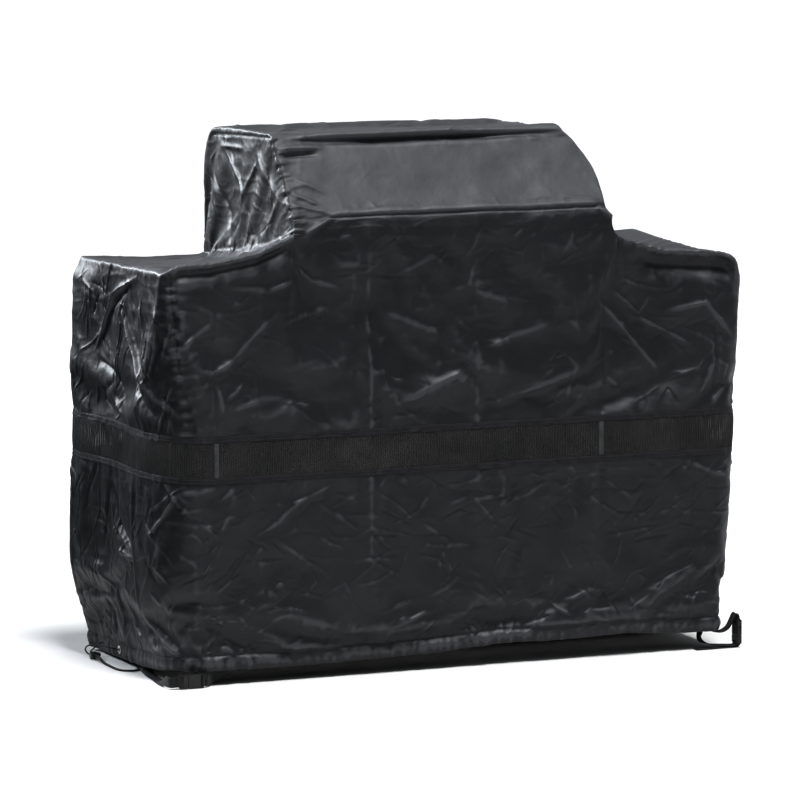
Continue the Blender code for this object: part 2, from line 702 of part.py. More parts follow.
def make_cord_lock():
    """A barrel with a crosswise passage for both strands, a ball-headed plunger and the spring under it."""
    place = Matrix.Translation((LOCK_X - LOCK_PASSAGE, LOCK_Y, LOCK_AXIS_Z)) @ Matrix.Rotation(math.pi / 2, 4, "Y")
    top = LOCK_HEIGHT
    barrel = [
        (LOCK_BORE_R, top),
        (LOCK_R - 1.5 * MM, top),
        (LOCK_R - 0.4 * MM, top - 1.0 * MM),
        (LOCK_R, top - 3.0 * MM),
        (LOCK_R, 3.0 * MM),
        (LOCK_R - 0.8 * MM, 0.9 * MM),
        (LOCK_R - 2.6 * MM, 0.0),
        (0.6 * MM, 0.0),
        (0.6 * MM, LOCK_FLOOR),
        (LOCK_BORE_R, LOCK_FLOOR),
    ]
    body = turned("cord_lock_barrel", barrel, LOCK, place)
    low = (LOCK_X - PASSAGE_HALF_Z, LOCK_Y - 0.02, LOCK_AXIS_Z - PASSAGE_HALF_X)
    high = (LOCK_X + PASSAGE_HALF_Z, LOCK_Y + 0.02, LOCK_AXIS_Z + PASSAGE_HALF_X)
    cut(body, hide_cutter(block("barrel_passage", low, high)))
    stem_low = LOCK_FLOOR + LOCK_TRAVEL + 0.3 * MM
    head_z = top + 3.6 * MM
    plunger = [
        (0.0, head_z + 6.6 * MM),
        (2.6 * MM, head_z + 6.2 * MM),
        (5.0 * MM, head_z + 4.6 * MM),
        (6.6 * MM, head_z + 2.2 * MM),
        (7.0 * MM, head_z),
        (6.8 * MM, head_z - 0.2 * MM),
        (STEM_R, head_z - 0.3 * MM),
        (STEM_R, stem_low),
        (0.0, stem_low),
    ]
    head = turned("cord_lock_plunger", plunger, LOCK, place)
    wide = PASSAGE_HALF_X + 0.1 * MM
    low = (LOCK_X - PASSAGE_HALF_Z, LOCK_Y - 0.02, LOCK_AXIS_Z - wide)
    high = (LOCK_X + PASSAGE_HALF_Z + LOCK_TRAVEL, LOCK_Y + 0.02, LOCK_AXIS_Z + wide)
    cut(head, hide_cutter(block("plunger_passage", low, high)))
    coil = []
    turns, steps = 3, 14
    low_z, high_z = LOCK_FLOOR + 0.5 * MM, stem_low - 0.5 * MM
    for i in range(turns * steps + 1):
        angle = 2 * math.pi * i / steps
        share = i / (turns * steps)
        local = (4.2 * MM * math.cos(angle), 4.2 * MM * math.sin(angle), low_z + (high_z - low_z) * share)
        coil.append(place @ Vector(local))
    tube("cord_lock_spring", coil, 0.25 * MM, STEEL)


# ---------------------------------------------------------------- buckles
def joined(name, first, others, operation):
    """One mesh from a block and blocks united with it or cut from it."""
    for other in others:
        modifier = first.modifiers.new(other.name, "BOOLEAN")
        modifier.operation = operation
        modifier.solver = "EXACT"
        modifier.object = other
    mesh = evaluated_mesh(first, name)
    for other in others:
        bpy.data.objects.remove(other, do_unlink=True)
    return mesh


def millimetres(corner):
    return tuple(value * MM for value in corner)


def mm_block(name, low, high):
    return block(name, millimetres(low), millimetres(high))


def soften(obj, width):
    bevel = obj.modifiers.new("soft_edges", "BEVEL")
    bevel.width = width
    bevel.segments = 2
    bevel.limit_method = "ANGLE"
    bevel.angle_limit = math.radians(40)


MOUTH_HALF = 14.3
ARM_ROOM = 3.2
WINDOW = (-23.0, -6.5)
SLOT_HALF = 13.3
BAR_HALF = 2.2


def socket_mesh():
    """The buckle's socket along local X, its mouth at 0 and the webbing's bar at its far end."""
    length, half, thick = SOCKET_LENGTH, BUCKLE_HALF_WIDTH, BUCKLE_HALF_THICK
    body = mm_block("socket_block", (-length, -half, -thick), (0, half, thick))
    soften(body, 1.2 * MM)
    slot_from = -length + BAR
    cuts = [
        mm_block("arm_room", (-25.0, -MOUTH_HALF, -ARM_ROOM), (2.0, MOUTH_HALF, ARM_ROOM)),
        mm_block("left_window", (WINDOW[0], -half - 2, -ARM_ROOM), (WINDOW[1], -MOUTH_HALF + 0.5, ARM_ROOM)),
        mm_block("right_window", (WINDOW[0], MOUTH_HALF - 0.5, -ARM_ROOM), (WINDOW[1], half + 2, ARM_ROOM)),
        mm_block("webbing_slot", (slot_from, -SLOT_HALF, -thick - 2), (slot_from + SLOT, SLOT_HALF, thick + 2)),
        mm_block("bar_top", (-length - 2, -SLOT_HALF, BAR_HALF), (slot_from + 1, SLOT_HALF, thick + 2)),
        mm_block("bar_under", (-length - 2, -SLOT_HALF, -thick - 2), (slot_from + 1, SLOT_HALF, -BAR_HALF)),
    ]
    return joined("buckle_socket", body, cuts, "DIFFERENCE")


def plug_mesh():
    """The plug's body outside the mouth, with its guide tongue inside it and the webbing's bar at its far end."""
    length, half, thick = PLUG_LENGTH, BUCKLE_HALF_WIDTH, BUCKLE_HALF_THICK
    body = mm_block("plug_block", (PLUG_GAP, -half, -thick), (length, half, thick))
    soften(body, 1.2 * MM)
    slot_to = length - BAR
    cuts = [
        mm_block("webbing_slot", (slot_to - SLOT, -SLOT_HALF, -thick - 2), (slot_to, SLOT_HALF, thick + 2)),
        mm_block("bar_top", (slot_to - 1, -SLOT_HALF, BAR_HALF), (length + 2, SLOT_HALF, thick + 2)),
        mm_block("bar_under", (slot_to - 1, -SLOT_HALF, -thick - 2), (length + 2, SLOT_HALF, -BAR_HALF)),
        mm_block("thumb_step", (8.0, -SLOT_HALF, 4.0), (12.0, SLOT_HALF, thick + 2)),
    ]
    cut_body = put("plug_cut", joined("plug_cut", body, cuts, "DIFFERENCE"), None, None, CUTTERS)
    tongue = mm_block("tongue", (-20.0, -3.0, -2.6), (PLUG_GAP + 1.0, 3.0, 2.6))
    return joined("buckle_plug", cut_body, [tongue], "UNION")


def arm_mesh(side):
    """One release arm in plan: a round root at its pivot and a bulge that the window lets out."""
    root_x, root_y = ARM_PIVOT
    root = []
    for i in range(7):
        angle = math.radians(-90 + 180 * i / 6)
        root.append((root_x + 1.6 * math.cos(angle), root_y + 1.6 * math.sin(angle)))
    outside = [(-4.0, 12.0), (-7.0, 14.1), (-10.0, 14.4), (-12.0, 14.65), (-14.0, 14.95), (-16.0, 15.3)]
    tip = [(-18.5, 15.0), (-21.0, 13.6), (-23.0, 11.8), (-22.8, 10.4)]
    inside = [(-19.0, 11.4), (-12.0, 11.6), (-7.0, 11.0), (-4.0, 9.0)]
    outline = [(x, side * y) for x, y in root + outside + tip + inside]
    half = 2.6
    rings = [[millimetres((x, y, z)) for x, y in outline] for z in (-half, half)]
    return loft("buckle_arm", rings)


def axes(origin, along_axis, across_axis):
    """A placement whose local X and Y run along the two directions."""
    u, v = Vector(along_axis), Vector(across_axis)
    w = u.cross(v)
    turn = Matrix((u, v, w)).transposed().to_4x4()
    return Matrix.Translation(origin) @ turn


def webbing(name, stations):
    """A ribbon through (point, direction of its width), smooth in between."""
    points = smooth_through([p for p, _ in stations], 3)
    widths = smooth_through([w for _, w in stations], 3)
    rings = []
    for i, (point, wide) in enumerate(zip(points, widths)):
        ahead = points[min(i + 1, len(points) - 1)] - points[max(i - 1, 0)]
        ahead.normalize()
        wide = (wide - ahead * wide.dot(ahead)).normalized()
        thick = ahead.cross(wide)
        a, b = wide * WEBBING / 2, thick * WEBBING_THICK / 2
        rings.append([point + a + b, point - a + b, point - a - b, point + a - b])
    put(name, loft(name, rings, triangles=True), STRAP)


def bar_loop(place, end, across, tail):
    """The webbing round a buckle's bar, from the tail's end to where both layers lie together.

    end is -1 at the socket's bar and +1 at the plug's. Each station is (point, width)."""
    far = SOCKET_LENGTH if end < 0 else PLUG_LENGTH
    flat = 0.98
    route = [
        (far + 3.5 + tail, -flat),
        (far + 3.5, -flat),
        (far + 1.8, -2.2),
        (far - 0.5, -3.35),
        (far - 3.2, -3.35),
        (far - 4.5, -2.7),
        (far - 5.0, -1.2),
        (far - 5.0, 1.2),
        (far - 4.5, 2.7),
        (far - 3.2, 3.35),
        (far - 0.5, 3.35),
        (far + 1.8, 2.2),
        (far + 3.5, flat),
        (far + 7.0, flat),
    ]
    return [(place @ Vector(millimetres((end * u, 0, w))), Vector(across)) for u, w in route]


def moved(stations, flip_x, flip_y):
    return [(Vector((p[0] * flip_x, p[1] * flip_y, p[2])), Vector((w[0] * flip_x, w[1] * flip_y, w[2]))) for p, w in stations]


UP = (0, 0, 1)
ACROSS = (0, 1, 0)
LEAN_SLOPE = HEM_INSET / (VENT_LOW_Z - 0.036)
SEWN_INSET = 2 * CLOTH + CHANNEL_INSIDE + GAP + WEBBING_THICK / 2 + 0.0002  # webbing on the channel's inner face


def make_strap_set(corner, place, socket_run, plug_run, across, meshes, tails):
    """One leg strap: a socket and a plug with its two arms, each half on its own webbing."""
    socket, plug, arms = meshes
    put(corner + "_buckle_socket", socket, BUCKLE, place)
    put(corner + "_buckle_plug", plug, BUCKLE, place)
    for letter, arm in zip("ab", arms):
        put(corner + "_release_arm_" + letter, arm, BUCKLE, place)
    webbing(corner + "_socket_strap", bar_loop(place, -1, across, tails[0]) + socket_run)
    webbing(corner + "_plug_strap", bar_loop(place, 1, across, tails[1]) + plug_run)


def make_straps():
    meshes = (socket_mesh(), plug_mesh(), (arm_mesh(1), arm_mesh(-1)))
    for mesh in (meshes[0], meshes[1], *meshes[2]):
        mesh.materials.clear()
        mesh.materials.append(BUCKLE)

    # Front left: the buckle stands on its edge under the hem, the plug's webbing runs back along the end.
    place = axes((-0.666, -0.280, 0.0173), (-1, 0, 0), UP)
    sewn_x = -WIDTH / 2 + SEWN_INSET + lean(0.034)
    leaning = (-LEAN_SLOPE, 0, 1)
    to_end = [
        ((-0.7010, -0.2795, 0.0170), UP),
        ((-0.7080, -0.2750, 0.0168), UP),
        ((-0.7105, -0.2650, 0.0166), UP),
        ((-0.7095, -0.2450, 0.0160), (0.15, 0, 1)),
        ((-0.7050, -0.2200, 0.0124), (0.65, 0, 0.75)),
        ((-0.6990, -0.1900, 0.0050), (1, 0, 0.25)),
        ((-0.6940, -0.1500, 0.0014), (1, 0, 0)),
        ((-0.6900, -0.1000, 0.0014), (1, 0, 0)),
        ((-0.6860, -0.0600, 0.0052), (1, 0, 0.25)),
        ((-0.6820, -0.0250, 0.0160), (0.6, 0, 0.8)),
        ((sewn_x + 0.0032, 0.0060, 0.0290), leaning),
        ((sewn_x + 0.0004, 0.0280, 0.0340), leaning),
        ((sewn_x, 0.0500, 0.0345), leaning),
    ]
    make_strap_set("front_left", place, hem_run(place, -1, -1), to_end, UP, meshes, (2.0, 4.0))

    # Back: both halves run straight along the hem, a little in from the corners.
    for corner, x, turn in (("back_left", -0.49, 1), ("back_right", 0.49, -1)):
        place = axes((x, 0.2965, 0.0173), (turn, 0, 0), (0, 0, turn))
        make_strap_set(corner, place, hem_run(place, -1, 1), hem_run(place, 1, 1), UP, meshes, (2.0, 4.0))

    # Front right: the buckle stands upright beside the corner, its plug down, the adjuster's tail on the floor.
    place = axes((0.7420, -0.2660, 0.0290), (0, 0, -1), (0, 1, 0))
    x, y = place.translation.x, place.translation.y
    top = place.translation.z + SOCKET_LENGTH * MM
    over = [
        ((x - 0.0010, y + 0.0010, top + 0.0120), ACROSS),
        ((x - 0.0045, y + 0.0020, top + 0.0140), ACROSS),
        ((x - 0.0085, y + 0.0030, top + 0.0100), ACROSS),
        ((x - 0.0130, y + 0.0040, top - 0.0010), ACROSS),
        ((x - 0.0210, y + 0.0080, 0.0480), ACROSS),
        ((x - 0.0330, y + 0.0150, 0.0385), ACROSS),
        ((x - 0.0450, y + 0.0230, 0.0365), ACROSS),
        ((x - 0.0535, y + 0.0300, 0.0378), ACROSS),
        ((x - 0.0585, y + 0.0345, 0.0420), ACROSS),
        ((end_inner_x(0.050) - 0.0028, y + 0.0370, 0.0500), ACROSS),
        ((end_inner_x(0.060) - 0.0010, y + 0.0385, 0.0600), ACROSS),
        ((end_inner_x(0.074) - 0.0006, y + 0.0395, 0.0740), ACROSS),
    ]
    make_strap_set_upright("front_right", place, over, meshes)


def end_inner_x(z):
    """Where webbing sewn inside the right end's channel runs at height z."""
    return WIDTH / 2 - SEWN_INSET - lean(z)


def hem_run(place, end, facing):
    """Webbing from a buckle that stands under a straight hem, up to the channel's inner face where it is sewn."""
    far = SOCKET_LENGTH if end < 0 else PLUG_LENGTH
    start = place @ Vector(millimetres((end * (far + 7.0), 0, 0)))
    step = 1 if (place.to_3x3() @ Vector((end, 0, 0))).x > 0 else -1
    leaning = (0, facing * LEAN_SLOPE, 1)
    z = start.z
    steps = [(0.006, 0.10, 0.0002), (0.014, 0.48, 0.0006), (0.023, 0.88, 0.0018), (0.033, 1.0, 0.0060)]
    steps += [(0.046, 1.0, 0.0160), (0.060, 1.0, 0.0270), (0.076, 1.0, 0.0320)]
    route = []
    for dx, share, dz in steps:
        inner_y = facing * (DEPTH / 2 - SEWN_INSET - lean(z + dz) - 0.0005)
        route.append(((start.x + step * dx, start.y + (inner_y - start.y) * share, z + dz), leaning))
    return route


def make_strap_set_upright(corner, place, socket_run, meshes):
    socket, plug, arms = meshes
    put(corner + "_buckle_socket", socket, BUCKLE, place)
    put(corner + "_buckle_plug", plug, BUCKLE, place)
    for letter, arm in zip("ab", arms):
        put(corner + "_release_arm_" + letter, arm, BUCKLE, place)
    webbing(corner + "_socket_strap", bar_loop(place, -1, ACROSS, 2.0) + socket_run)
    x, y = place.translation.x, place.translation.y
    z = place.translation.z - PLUG_LENGTH * MM
    route = [
        ((0.6300, y - 0.0010, 0.0013), ACROSS),
        ((0.6700, y - 0.0010, 0.0013), ACROSS),
        ((0.7100, y, 0.0013), ACROSS),
        ((x - 0.0110, y, 0.0013), ACROSS),
        ((x - 0.0030, y, 0.0018), ACROSS),
        ((x + 0.0018, y, z - 0.0034), ACROSS),
        ((x + 0.0036, y, z + 0.0004), ACROSS),
        ((x + 0.0034, y, z + 0.0034), ACROSS),
        ((x + 0.0020, y, z + 0.0050), ACROSS),
        ((x - 0.0004, y, z + 0.0054), ACROSS),
        ((x - 0.0027, y, z + 0.0044), ACROSS),
        ((x - 0.0036, y, z + 0.0014), ACROSS),
        ((x - 0.0052, y, z - 0.0018), ACROSS),
        ((x - 0.0110, y + 0.0010, 0.0046), ACROSS),
        ((x - 0.0300, y + 0.0080, 0.0046), ACROSS),
        ((x - 0.0600, y + 0.0240, 0.0060), ACROSS),
        ((x - 0.0740, y + 0.0440, 0.0150), ACROSS),
        ((x - 0.0700, y + 0.0600, 0.0290), ACROSS),
        ((end_inner_x(0.044) - 0.0040, y + 0.0670, 0.0430), ACROSS),
        ((end_inner_x(0.056), y + 0.0680, 0.0560), ACROSS),
        ((end_inner_x(0.074), y + 0.0680, 0.0740), ACROSS),
    ]
    webbing(corner + "_plug_strap", route)


# ---------------------------------------------------------------- build
make_front_and_back()
make_hood_top()
make_hood_sides()
make_shelf_tops()
make_ends()
make_vents()
make_skirt()
make_tapes()
make_eyelets()
make_drawstring()
make_cord_lock()
make_straps()
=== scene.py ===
"""Looks of the grill cover: one cloth, draped by simulation and cut into its sewn panels, with its trim."""

import math

import bmesh
import bpy
import numpy as np
from mathutils import Matrix, Vector


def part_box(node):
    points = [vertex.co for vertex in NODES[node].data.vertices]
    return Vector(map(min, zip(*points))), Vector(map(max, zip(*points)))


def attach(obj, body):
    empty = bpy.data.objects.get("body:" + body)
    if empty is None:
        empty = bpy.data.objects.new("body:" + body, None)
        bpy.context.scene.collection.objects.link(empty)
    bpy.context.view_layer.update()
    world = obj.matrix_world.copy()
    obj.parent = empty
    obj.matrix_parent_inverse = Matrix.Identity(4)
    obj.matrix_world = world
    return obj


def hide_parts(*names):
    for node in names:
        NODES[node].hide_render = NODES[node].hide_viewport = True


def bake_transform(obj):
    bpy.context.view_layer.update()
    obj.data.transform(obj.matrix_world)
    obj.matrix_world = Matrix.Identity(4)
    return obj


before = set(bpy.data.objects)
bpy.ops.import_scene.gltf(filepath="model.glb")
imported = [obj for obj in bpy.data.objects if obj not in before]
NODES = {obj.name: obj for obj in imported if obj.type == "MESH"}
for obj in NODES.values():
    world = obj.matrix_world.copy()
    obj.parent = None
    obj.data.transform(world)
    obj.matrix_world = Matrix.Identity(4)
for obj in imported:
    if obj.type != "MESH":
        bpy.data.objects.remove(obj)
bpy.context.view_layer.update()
SCENE = bpy.context.scene

# -------- the cover's driving sizes, as in the CAD model
HALF_W = 0.725
HALF_D = 0.30
SHELF_Z = 0.935
HOOD_HALF = 0.405
VENT_LOW = 0.485
VENT_HIGH = 0.580
HEM_INSET = 0.028
TAPE_HALF = 0.007
CHANNEL = 0.035
SKIRT_SEAM_X = 0.60
VENT_SEAM_X = 0.37
CLOSING_SEAM_Y = 0.167
HEM_HEIGHTS_FRONT = [(-0.725, 0.034), (-0.60, 0.036), (-0.40, 0.034), (-0.06, 0.040), (0.12, 0.052)]
HEM_HEIGHTS_FRONT += [(0.34, 0.050), (0.45, 0.055), (0.60, 0.044), (0.725, 0.044)]
HEM_HEIGHTS_LEFT = [(-0.30, 0.034), (-0.20, 0.026), (0.08, 0.010), (0.24, 0.006), (0.30, 0.012)]


# -------- camera, light and stage
def make_camera():
    camera = bpy.data.objects.new("camera", bpy.data.cameras.new("camera"))
    SCENE.collection.objects.link(camera)
    target = Vector((-0.022, 0.0, 0.603))
    azimuth, elevation, distance = math.radians(-22.3), math.radians(7.9), 14.0
    back = Vector(
        (
            math.sin(azimuth) * math.cos(elevation),
            -math.cos(azimuth) * math.cos(elevation),
            math.sin(elevation),
        )
    )
    camera.location = target + back * distance
    camera.rotation_euler = (-back).to_track_quat("-Z", "Y").to_euler()
    camera.data.sensor_width = 36.0
    camera.data.lens = 264.9
    camera.data.clip_end = 200.0
    SCENE.camera = camera


def area_light(name, place, target, size, power, colour=(1, 1, 1)):
    data = bpy.data.lights.new(name, "AREA")
    data.shape = "RECTANGLE"
    data.size, data.size_y = size
    data.energy = power
    data.color = colour
    light = bpy.data.objects.new(name, data)
    light.location = place
    light.rotation_euler = (Vector(target) - Vector(place)).to_track_quat("-Z", "Y").to_euler()
    light.visible_camera = False
    SCENE.collection.objects.link(light)


def dark_flag(name, corners):
    """A black panel beside the set, out of the picture, that keeps light off one side of the cover."""
    material, nodes, links, shader = new_material(name)
    uneven = noise(nodes, links, 3.0, 2.0, object_coords(nodes))
    colour = ramp(nodes, links, uneven.outputs["Fac"], (0.008,) * 3, (0.012,) * 3)
    links.new(colour, shader.inputs["Base Color"])
    shader.inputs["Roughness"].default_value = 1.0
    shader.inputs["Specular IOR Level"].default_value = 0.0
    mesh = bpy.data.meshes.new(name)
    mesh.from_pydata(corners, [], [tuple(range(len(corners)))])
    mesh.materials.append(material)
    flag = bpy.data.objects.new(name, mesh)
    flag.visible_camera = False
    SCENE.collection.objects.link(flag)
    return flag


def make_stage():
    world = bpy.data.worlds.new("studio")
    world.use_nodes = True
    back = world.node_tree.nodes["Background"]
    back.inputs["Color"].default_value = (0.93, 0.96, 1.0, 1.0)
    back.inputs["Strength"].default_value = 0.27
    SCENE.world = world
    mesh = bpy.data.meshes.new("floor")
    side = 90.0
    corners = [(-side, -side, 0), (side, -side, 0), (side, side, 0), (-side, side, 0)]
    mesh.from_pydata(corners, [], [(0, 1, 2, 3)])
    floor = bpy.data.objects.new("floor", mesh)
    SCENE.collection.objects.link(floor)
    floor.location.z = -0.0006
    material, nodes, _, shader = new_material("floor_white")
    shader.inputs["Base Color"].default_value = (0.93, 0.93, 0.93, 1)
    shader.inputs["Roughness"].default_value = 0.9
    shader.inputs["Specular IOR Level"].default_value = 0.0
    mesh.materials.append(material)
    key = bpy.data.lights.new("key", "SUN")
    key.energy = 3.0
    key.angle = math.radians(16)
    sun = bpy.data.objects.new("key", key)
    sun.rotation_euler = Vector((-0.06, 0.336, -1.0)).to_track_quat("-Z", "Y").to_euler()
    SCENE.collection.objects.link(sun)
    area_light("back_left_soft", (-3.2, 4.4, 2.9), (-0.3, 0, 0.9), (2.4, 1.2), 480, (0.90, 0.95, 1.0))
    area_light("left_soft", (-4.5, -1.9, 3.0), (-0.7, -0.1, 0.95), (1.6, 1.6), 70, (0.92, 0.96, 1.0))
    dark_flag("flag_behind", [(-3.4, 2.2, 0), (-0.9, 3.2, 0), (-0.9, 3.2, 1.75), (-3.4, 2.2, 1.75)])
    dark_flag("flag_front", [(-1.34, -6.1, 0), (5.1, -3.5, 0), (5.1, -3.5, 2.6), (-1.34, -6.1, 2.6)])
    dark_flag("flag_left", [(-2.45, -2.6, 0), (-2.45, 1.2, 0), (-2.45, 1.2, 1.6), (-2.45, -2.6, 1.6)])
    outline = [(-1.5, -0.8), (-0.5, 2.0), (-0.5, 6.0), (-6.0, 6.0), (-6.0, -0.8)]
    lying = dark_flag("flag_lying", [(x, y, 0.01) for x, y in outline])
    lying.visible_shadow = False
    SCENE.view_settings.view_transform = "Standard"
    SCENE.view_settings.look = "None"
    SCENE.view_settings.gamma = 0.80


# -------- materials
def new_material(name):
    material = bpy.data.materials.new(name)
    material.use_nodes = True
    tree = material.node_tree
    shader = tree.nodes["Principled BSDF"]
    return material, tree.nodes, tree.links, shader


def noise(nodes, links, scale, detail=3.0, vector=None, roughness=0.55):
    node = nodes.new("ShaderNodeTexNoise")
    node.inputs["Scale"].default_value = scale
    node.inputs["Detail"].default_value = detail
    node.inputs["Roughness"].default_value = roughness
    if vector is not None:
        links.new(vector, node.inputs["Vector"])
    return node


def object_coords(nodes):
    return nodes.new("ShaderNodeTexCoord").outputs["Object"]


def ramp(nodes, links, value, low, high, stops=(0.35, 0.65)):
    node = nodes.new("ShaderNodeValToRGB")
    node.color_ramp.elements[0].position = stops[0]
    node.color_ramp.elements[1].position = stops[1]
    node.color_ramp.elements[0].color = (*low, 1)
    node.color_ramp.elements[1].color = (*high, 1)
    links.new(value, node.inputs["Fac"])
    return node.outputs["Color"]


def math_node(nodes, links, operation, first, second=None, third=None):
    node = nodes.new("ShaderNodeMath")
    node.operation = operation
    for i, value in enumerate((first, second, third)):
        if value is None:
            continue
        if isinstance(value, (int, float)):
            node.inputs[i].default_value = value
        else:
            links.new(value, node.inputs[i])
    return node.outputs[0]


def bump(nodes, links, height, strength, distance, under=None):
    node = nodes.new("ShaderNodeBump")
    node.inputs["Strength"].default_value = strength
    node.inputs["Distance"].default_value = distance
    links.new(height, node.inputs["Height"])
    if under is not None:
        links.new(under, node.inputs["Normal"])
    return node.outputs["Normal"]


def weave_height(nodes, links, coords, threads_per_metre):
    """A plain weave: two sine waves along the slanted axes, which show on every upright and level face."""
    split = nodes.new("ShaderNodeSeparateXYZ")
    links.new(coords, split.inputs[0])
    turn = 2 * math.pi * threads_per_metre
    across = math_node(nodes, links, "ADD", split.outputs[0], split.outputs[1])
    leaning = math_node(nodes, links, "MULTIPLY", split.outputs[1], 0.9)
    along = math_node(nodes, links, "ADD", split.outputs[2], leaning)
    first = math_node(nodes, links, "SINE", math_node(nodes, links, "MULTIPLY", across, turn))
    second = math_node(nodes, links, "SINE", math_node(nodes, links, "MULTIPLY", along, turn))
    return math_node(nodes, links, "MULTIPLY", first, second)


def shell_material():
    material, nodes, links, shader = new_material("shell_cloth")
    coords = object_coords(nodes)
    mottled = noise(nodes, links, 5.0, 5.0, coords)
    plain = ramp(nodes, links, mottled.outputs["Fac"], (0.0120, 0.0126, 0.0150), (0.0190, 0.0198, 0.0230))
    # the crest attribute pales the base colour: wear with a painted highlight on sharp fold crests, and a
    # painted sheen on faces that look up
    worn = nodes.new("ShaderNodeAttribute")
    worn.attribute_name = "crest"
    wear_and_painted_sheen_mix = nodes.new("ShaderNodeMix")
    wear_and_painted_sheen_mix.data_type = "RGBA"
    links.new(worn.outputs["Fac"], wear_and_painted_sheen_mix.inputs["Factor"])
    links.new(plain, wear_and_painted_sheen_mix.inputs["A"])
    wear_and_painted_sheen_mix.inputs["B"].default_value = (0.105, 0.107, 0.115, 1)
    links.new(wear_and_painted_sheen_mix.outputs["Result"], shader.inputs["Base Color"])
    rub = noise(nodes, links, 17.0, 4.0, coords)
    rough = ramp(nodes, links, rub.outputs["Fac"], (0.45, 0.45, 0.45), (0.54, 0.54, 0.54))
    links.new(rough, shader.inputs["Roughness"])
    shader.inputs["Specular IOR Level"].default_value = 0.44
    shader.inputs["Sheen Weight"].default_value = 0.02
    shader.inputs["Sheen Roughness"].default_value = 0.5
    crinkle = noise(nodes, links, 48.0, 5.0, coords, 0.62)
    soft = bump(nodes, links, crinkle.outputs["Fac"], 0.30, 0.0022)
    fine = bump(nodes, links, weave_height(nodes, links, coords, 520), 0.18, 0.00022, soft)
    links.new(fine, shader.inputs["Normal"])
    return material


def vent_material():
    material, nodes, links, shader = new_material("vent_open_mesh")
    coords = object_coords(nodes)
    mottled = noise(nodes, links, 7.0, 3.0, coords)
    colour = ramp(nodes, links, mottled.outputs["Fac"], (0.026, 0.026, 0.026), (0.082, 0.080, 0.074))
    links.new(colour, shader.inputs["Base Color"])
    shader.inputs["Roughness"].default_value = 0.6
    shader.inputs["Alpha"].default_value = 0.72
    fine = bump(nodes, links, weave_height(nodes, links, coords, 300), 0.5, 0.0005)
    links.new(fine, shader.inputs["Normal"])
    return material


def woven_material(name, low, high, roughness, threads, specular=0.35):
    material, nodes, links, shader = new_material(name)
    coords = object_coords(nodes)
    mottled = noise(nodes, links, 60.0, 3.0, coords)
    links.new(ramp(nodes, links, mottled.outputs["Fac"], low, high), shader.inputs["Base Color"])
    shader.inputs["Roughness"].default_value = roughness
    shader.inputs["Specular IOR Level"].default_value = specular
    shader.inputs["Sheen Weight"].default_value = 0.08
    fine = bump(nodes, links, weave_height(nodes, links, coords, threads), 0.6, 0.0006)
    links.new(fine, shader.inputs["Normal"])
    return material


def plastic_material(name, low, high, roughness):
    material, nodes, links, shader = new_material(name)
    coords = object_coords(nodes)
    mottled = noise(nodes, links, 90.0, 4.0, coords)
    links.new(ramp(nodes, links, mottled.outputs["Fac"], low, high), shader.inputs["Base Color"])
    rub = noise(nodes, links, 240.0, 3.0, coords)
    spread = ramp(nodes, links, rub.outputs["Fac"], (roughness - 0.06,) * 3, (roughness + 0.08,) * 3)
    links.new(spread, shader.inputs["Roughness"])
    grain = noise(nodes, links, 900.0, 2.0, coords)
    links.new(bump(nodes, links, grain.outputs["Fac"], 0.25, 0.0002), shader.inputs["Normal"])
    return material


def nickel_material():
    material, nodes, links, shader = new_material("nickel_plate")
    coords = object_coords(nodes)
    shader.inputs["Metallic"].default_value = 1.0
    worn = noise(nodes, links, 120.0, 4.0, coords)
    colour = ramp(nodes, links, worn.outputs["Fac"], (0.80, 0.79, 0.76), (0.97, 0.96, 0.94))
    links.new(colour, shader.inputs["Base Color"])
    links.new(ramp(nodes, links, worn.outputs["Fac"], (0.34,) * 3, (0.46,) * 3), shader.inputs["Roughness"])
    fine = noise(nodes, links, 700.0, 2.0, coords)
    links.new(bump(nodes, links, fine.outputs["Fac"], 0.1, 0.0001), shader.inputs["Normal"])
    return material


# -------- smooth noise on arrays
def lattice(ix, iy, iz, seed):
    """A repeatable number from 0 to 1 for each lattice point."""
    h = ix.astype(np.uint32) * np.uint32(374761393) + iy.astype(np.uint32) * np.uint32(668265263)
    h = h + iz.astype(np.uint32) * np.uint32(2147483647) + np.uint32(seed * 144665 + 12345)
    h = (h ^ (h >> np.uint32(13))) * np.uint32(1274126177)
    h = h ^ (h >> np.uint32(16))
    return (h & np.uint32(0xFFFFFF)).astype(np.float64) / float(0xFFFFFF)


def value_noise(points, size, seed=0):
    """Smooth noise from -1 to 1 with this feature size, in metres (one number, or one per axis)."""
    p = points / np.asarray(size, float)
    base = np.floor(p)
    f = p - base
    f = f * f * f * (f * (f * 6 - 15) + 10)
    base = base.astype(np.int64)
    total = np.zeros(len(points))
    for dx in (0, 1):
        wx = f[:, 0] if dx else 1 - f[:, 0]
        for dy in (0, 1):
            wy = f[:, 1] if dy else 1 - f[:, 1]
            for dz in (0, 1):
                wz = f[:, 2] if dz else 1 - f[:, 2]
                total += wx * wy * wz * lattice(base[:, 0] + dx, base[:, 1] + dy, base[:, 2] + dz, seed)
    return total * 2 - 1


def fold_noise(points, size, seed=0):
    """Noise with sharp ridges, like creases in stiff cloth, from 0 to 1."""
    return 1 - np.abs(value_noise(points, size, seed))


def smooth(low, high, value):
    t = np.clip((value - low) / (high - low), 0, 1)
    return t * t * (3 - 2 * t)


def bell(value, middle, width):
    return np.exp(-(((value - middle) / width) ** 2))


def tent(value, middle, width):
    """A sharp crest that falls off on both sides."""
    return np.exp(-np.abs(value - middle) / width)


# -------- the draped cover's shape
HEM_ROWS = [0.0, 0.010, 0.022, CHANNEL]
SKIRT_STEPS = 34
BAND_STEPS = 6
UPPER_STEPS = 30
TOP_STEPS = 84
SHELF_STATIONS = 25
SIDE_STATIONS = 22
HOOD_STATIONS = 68


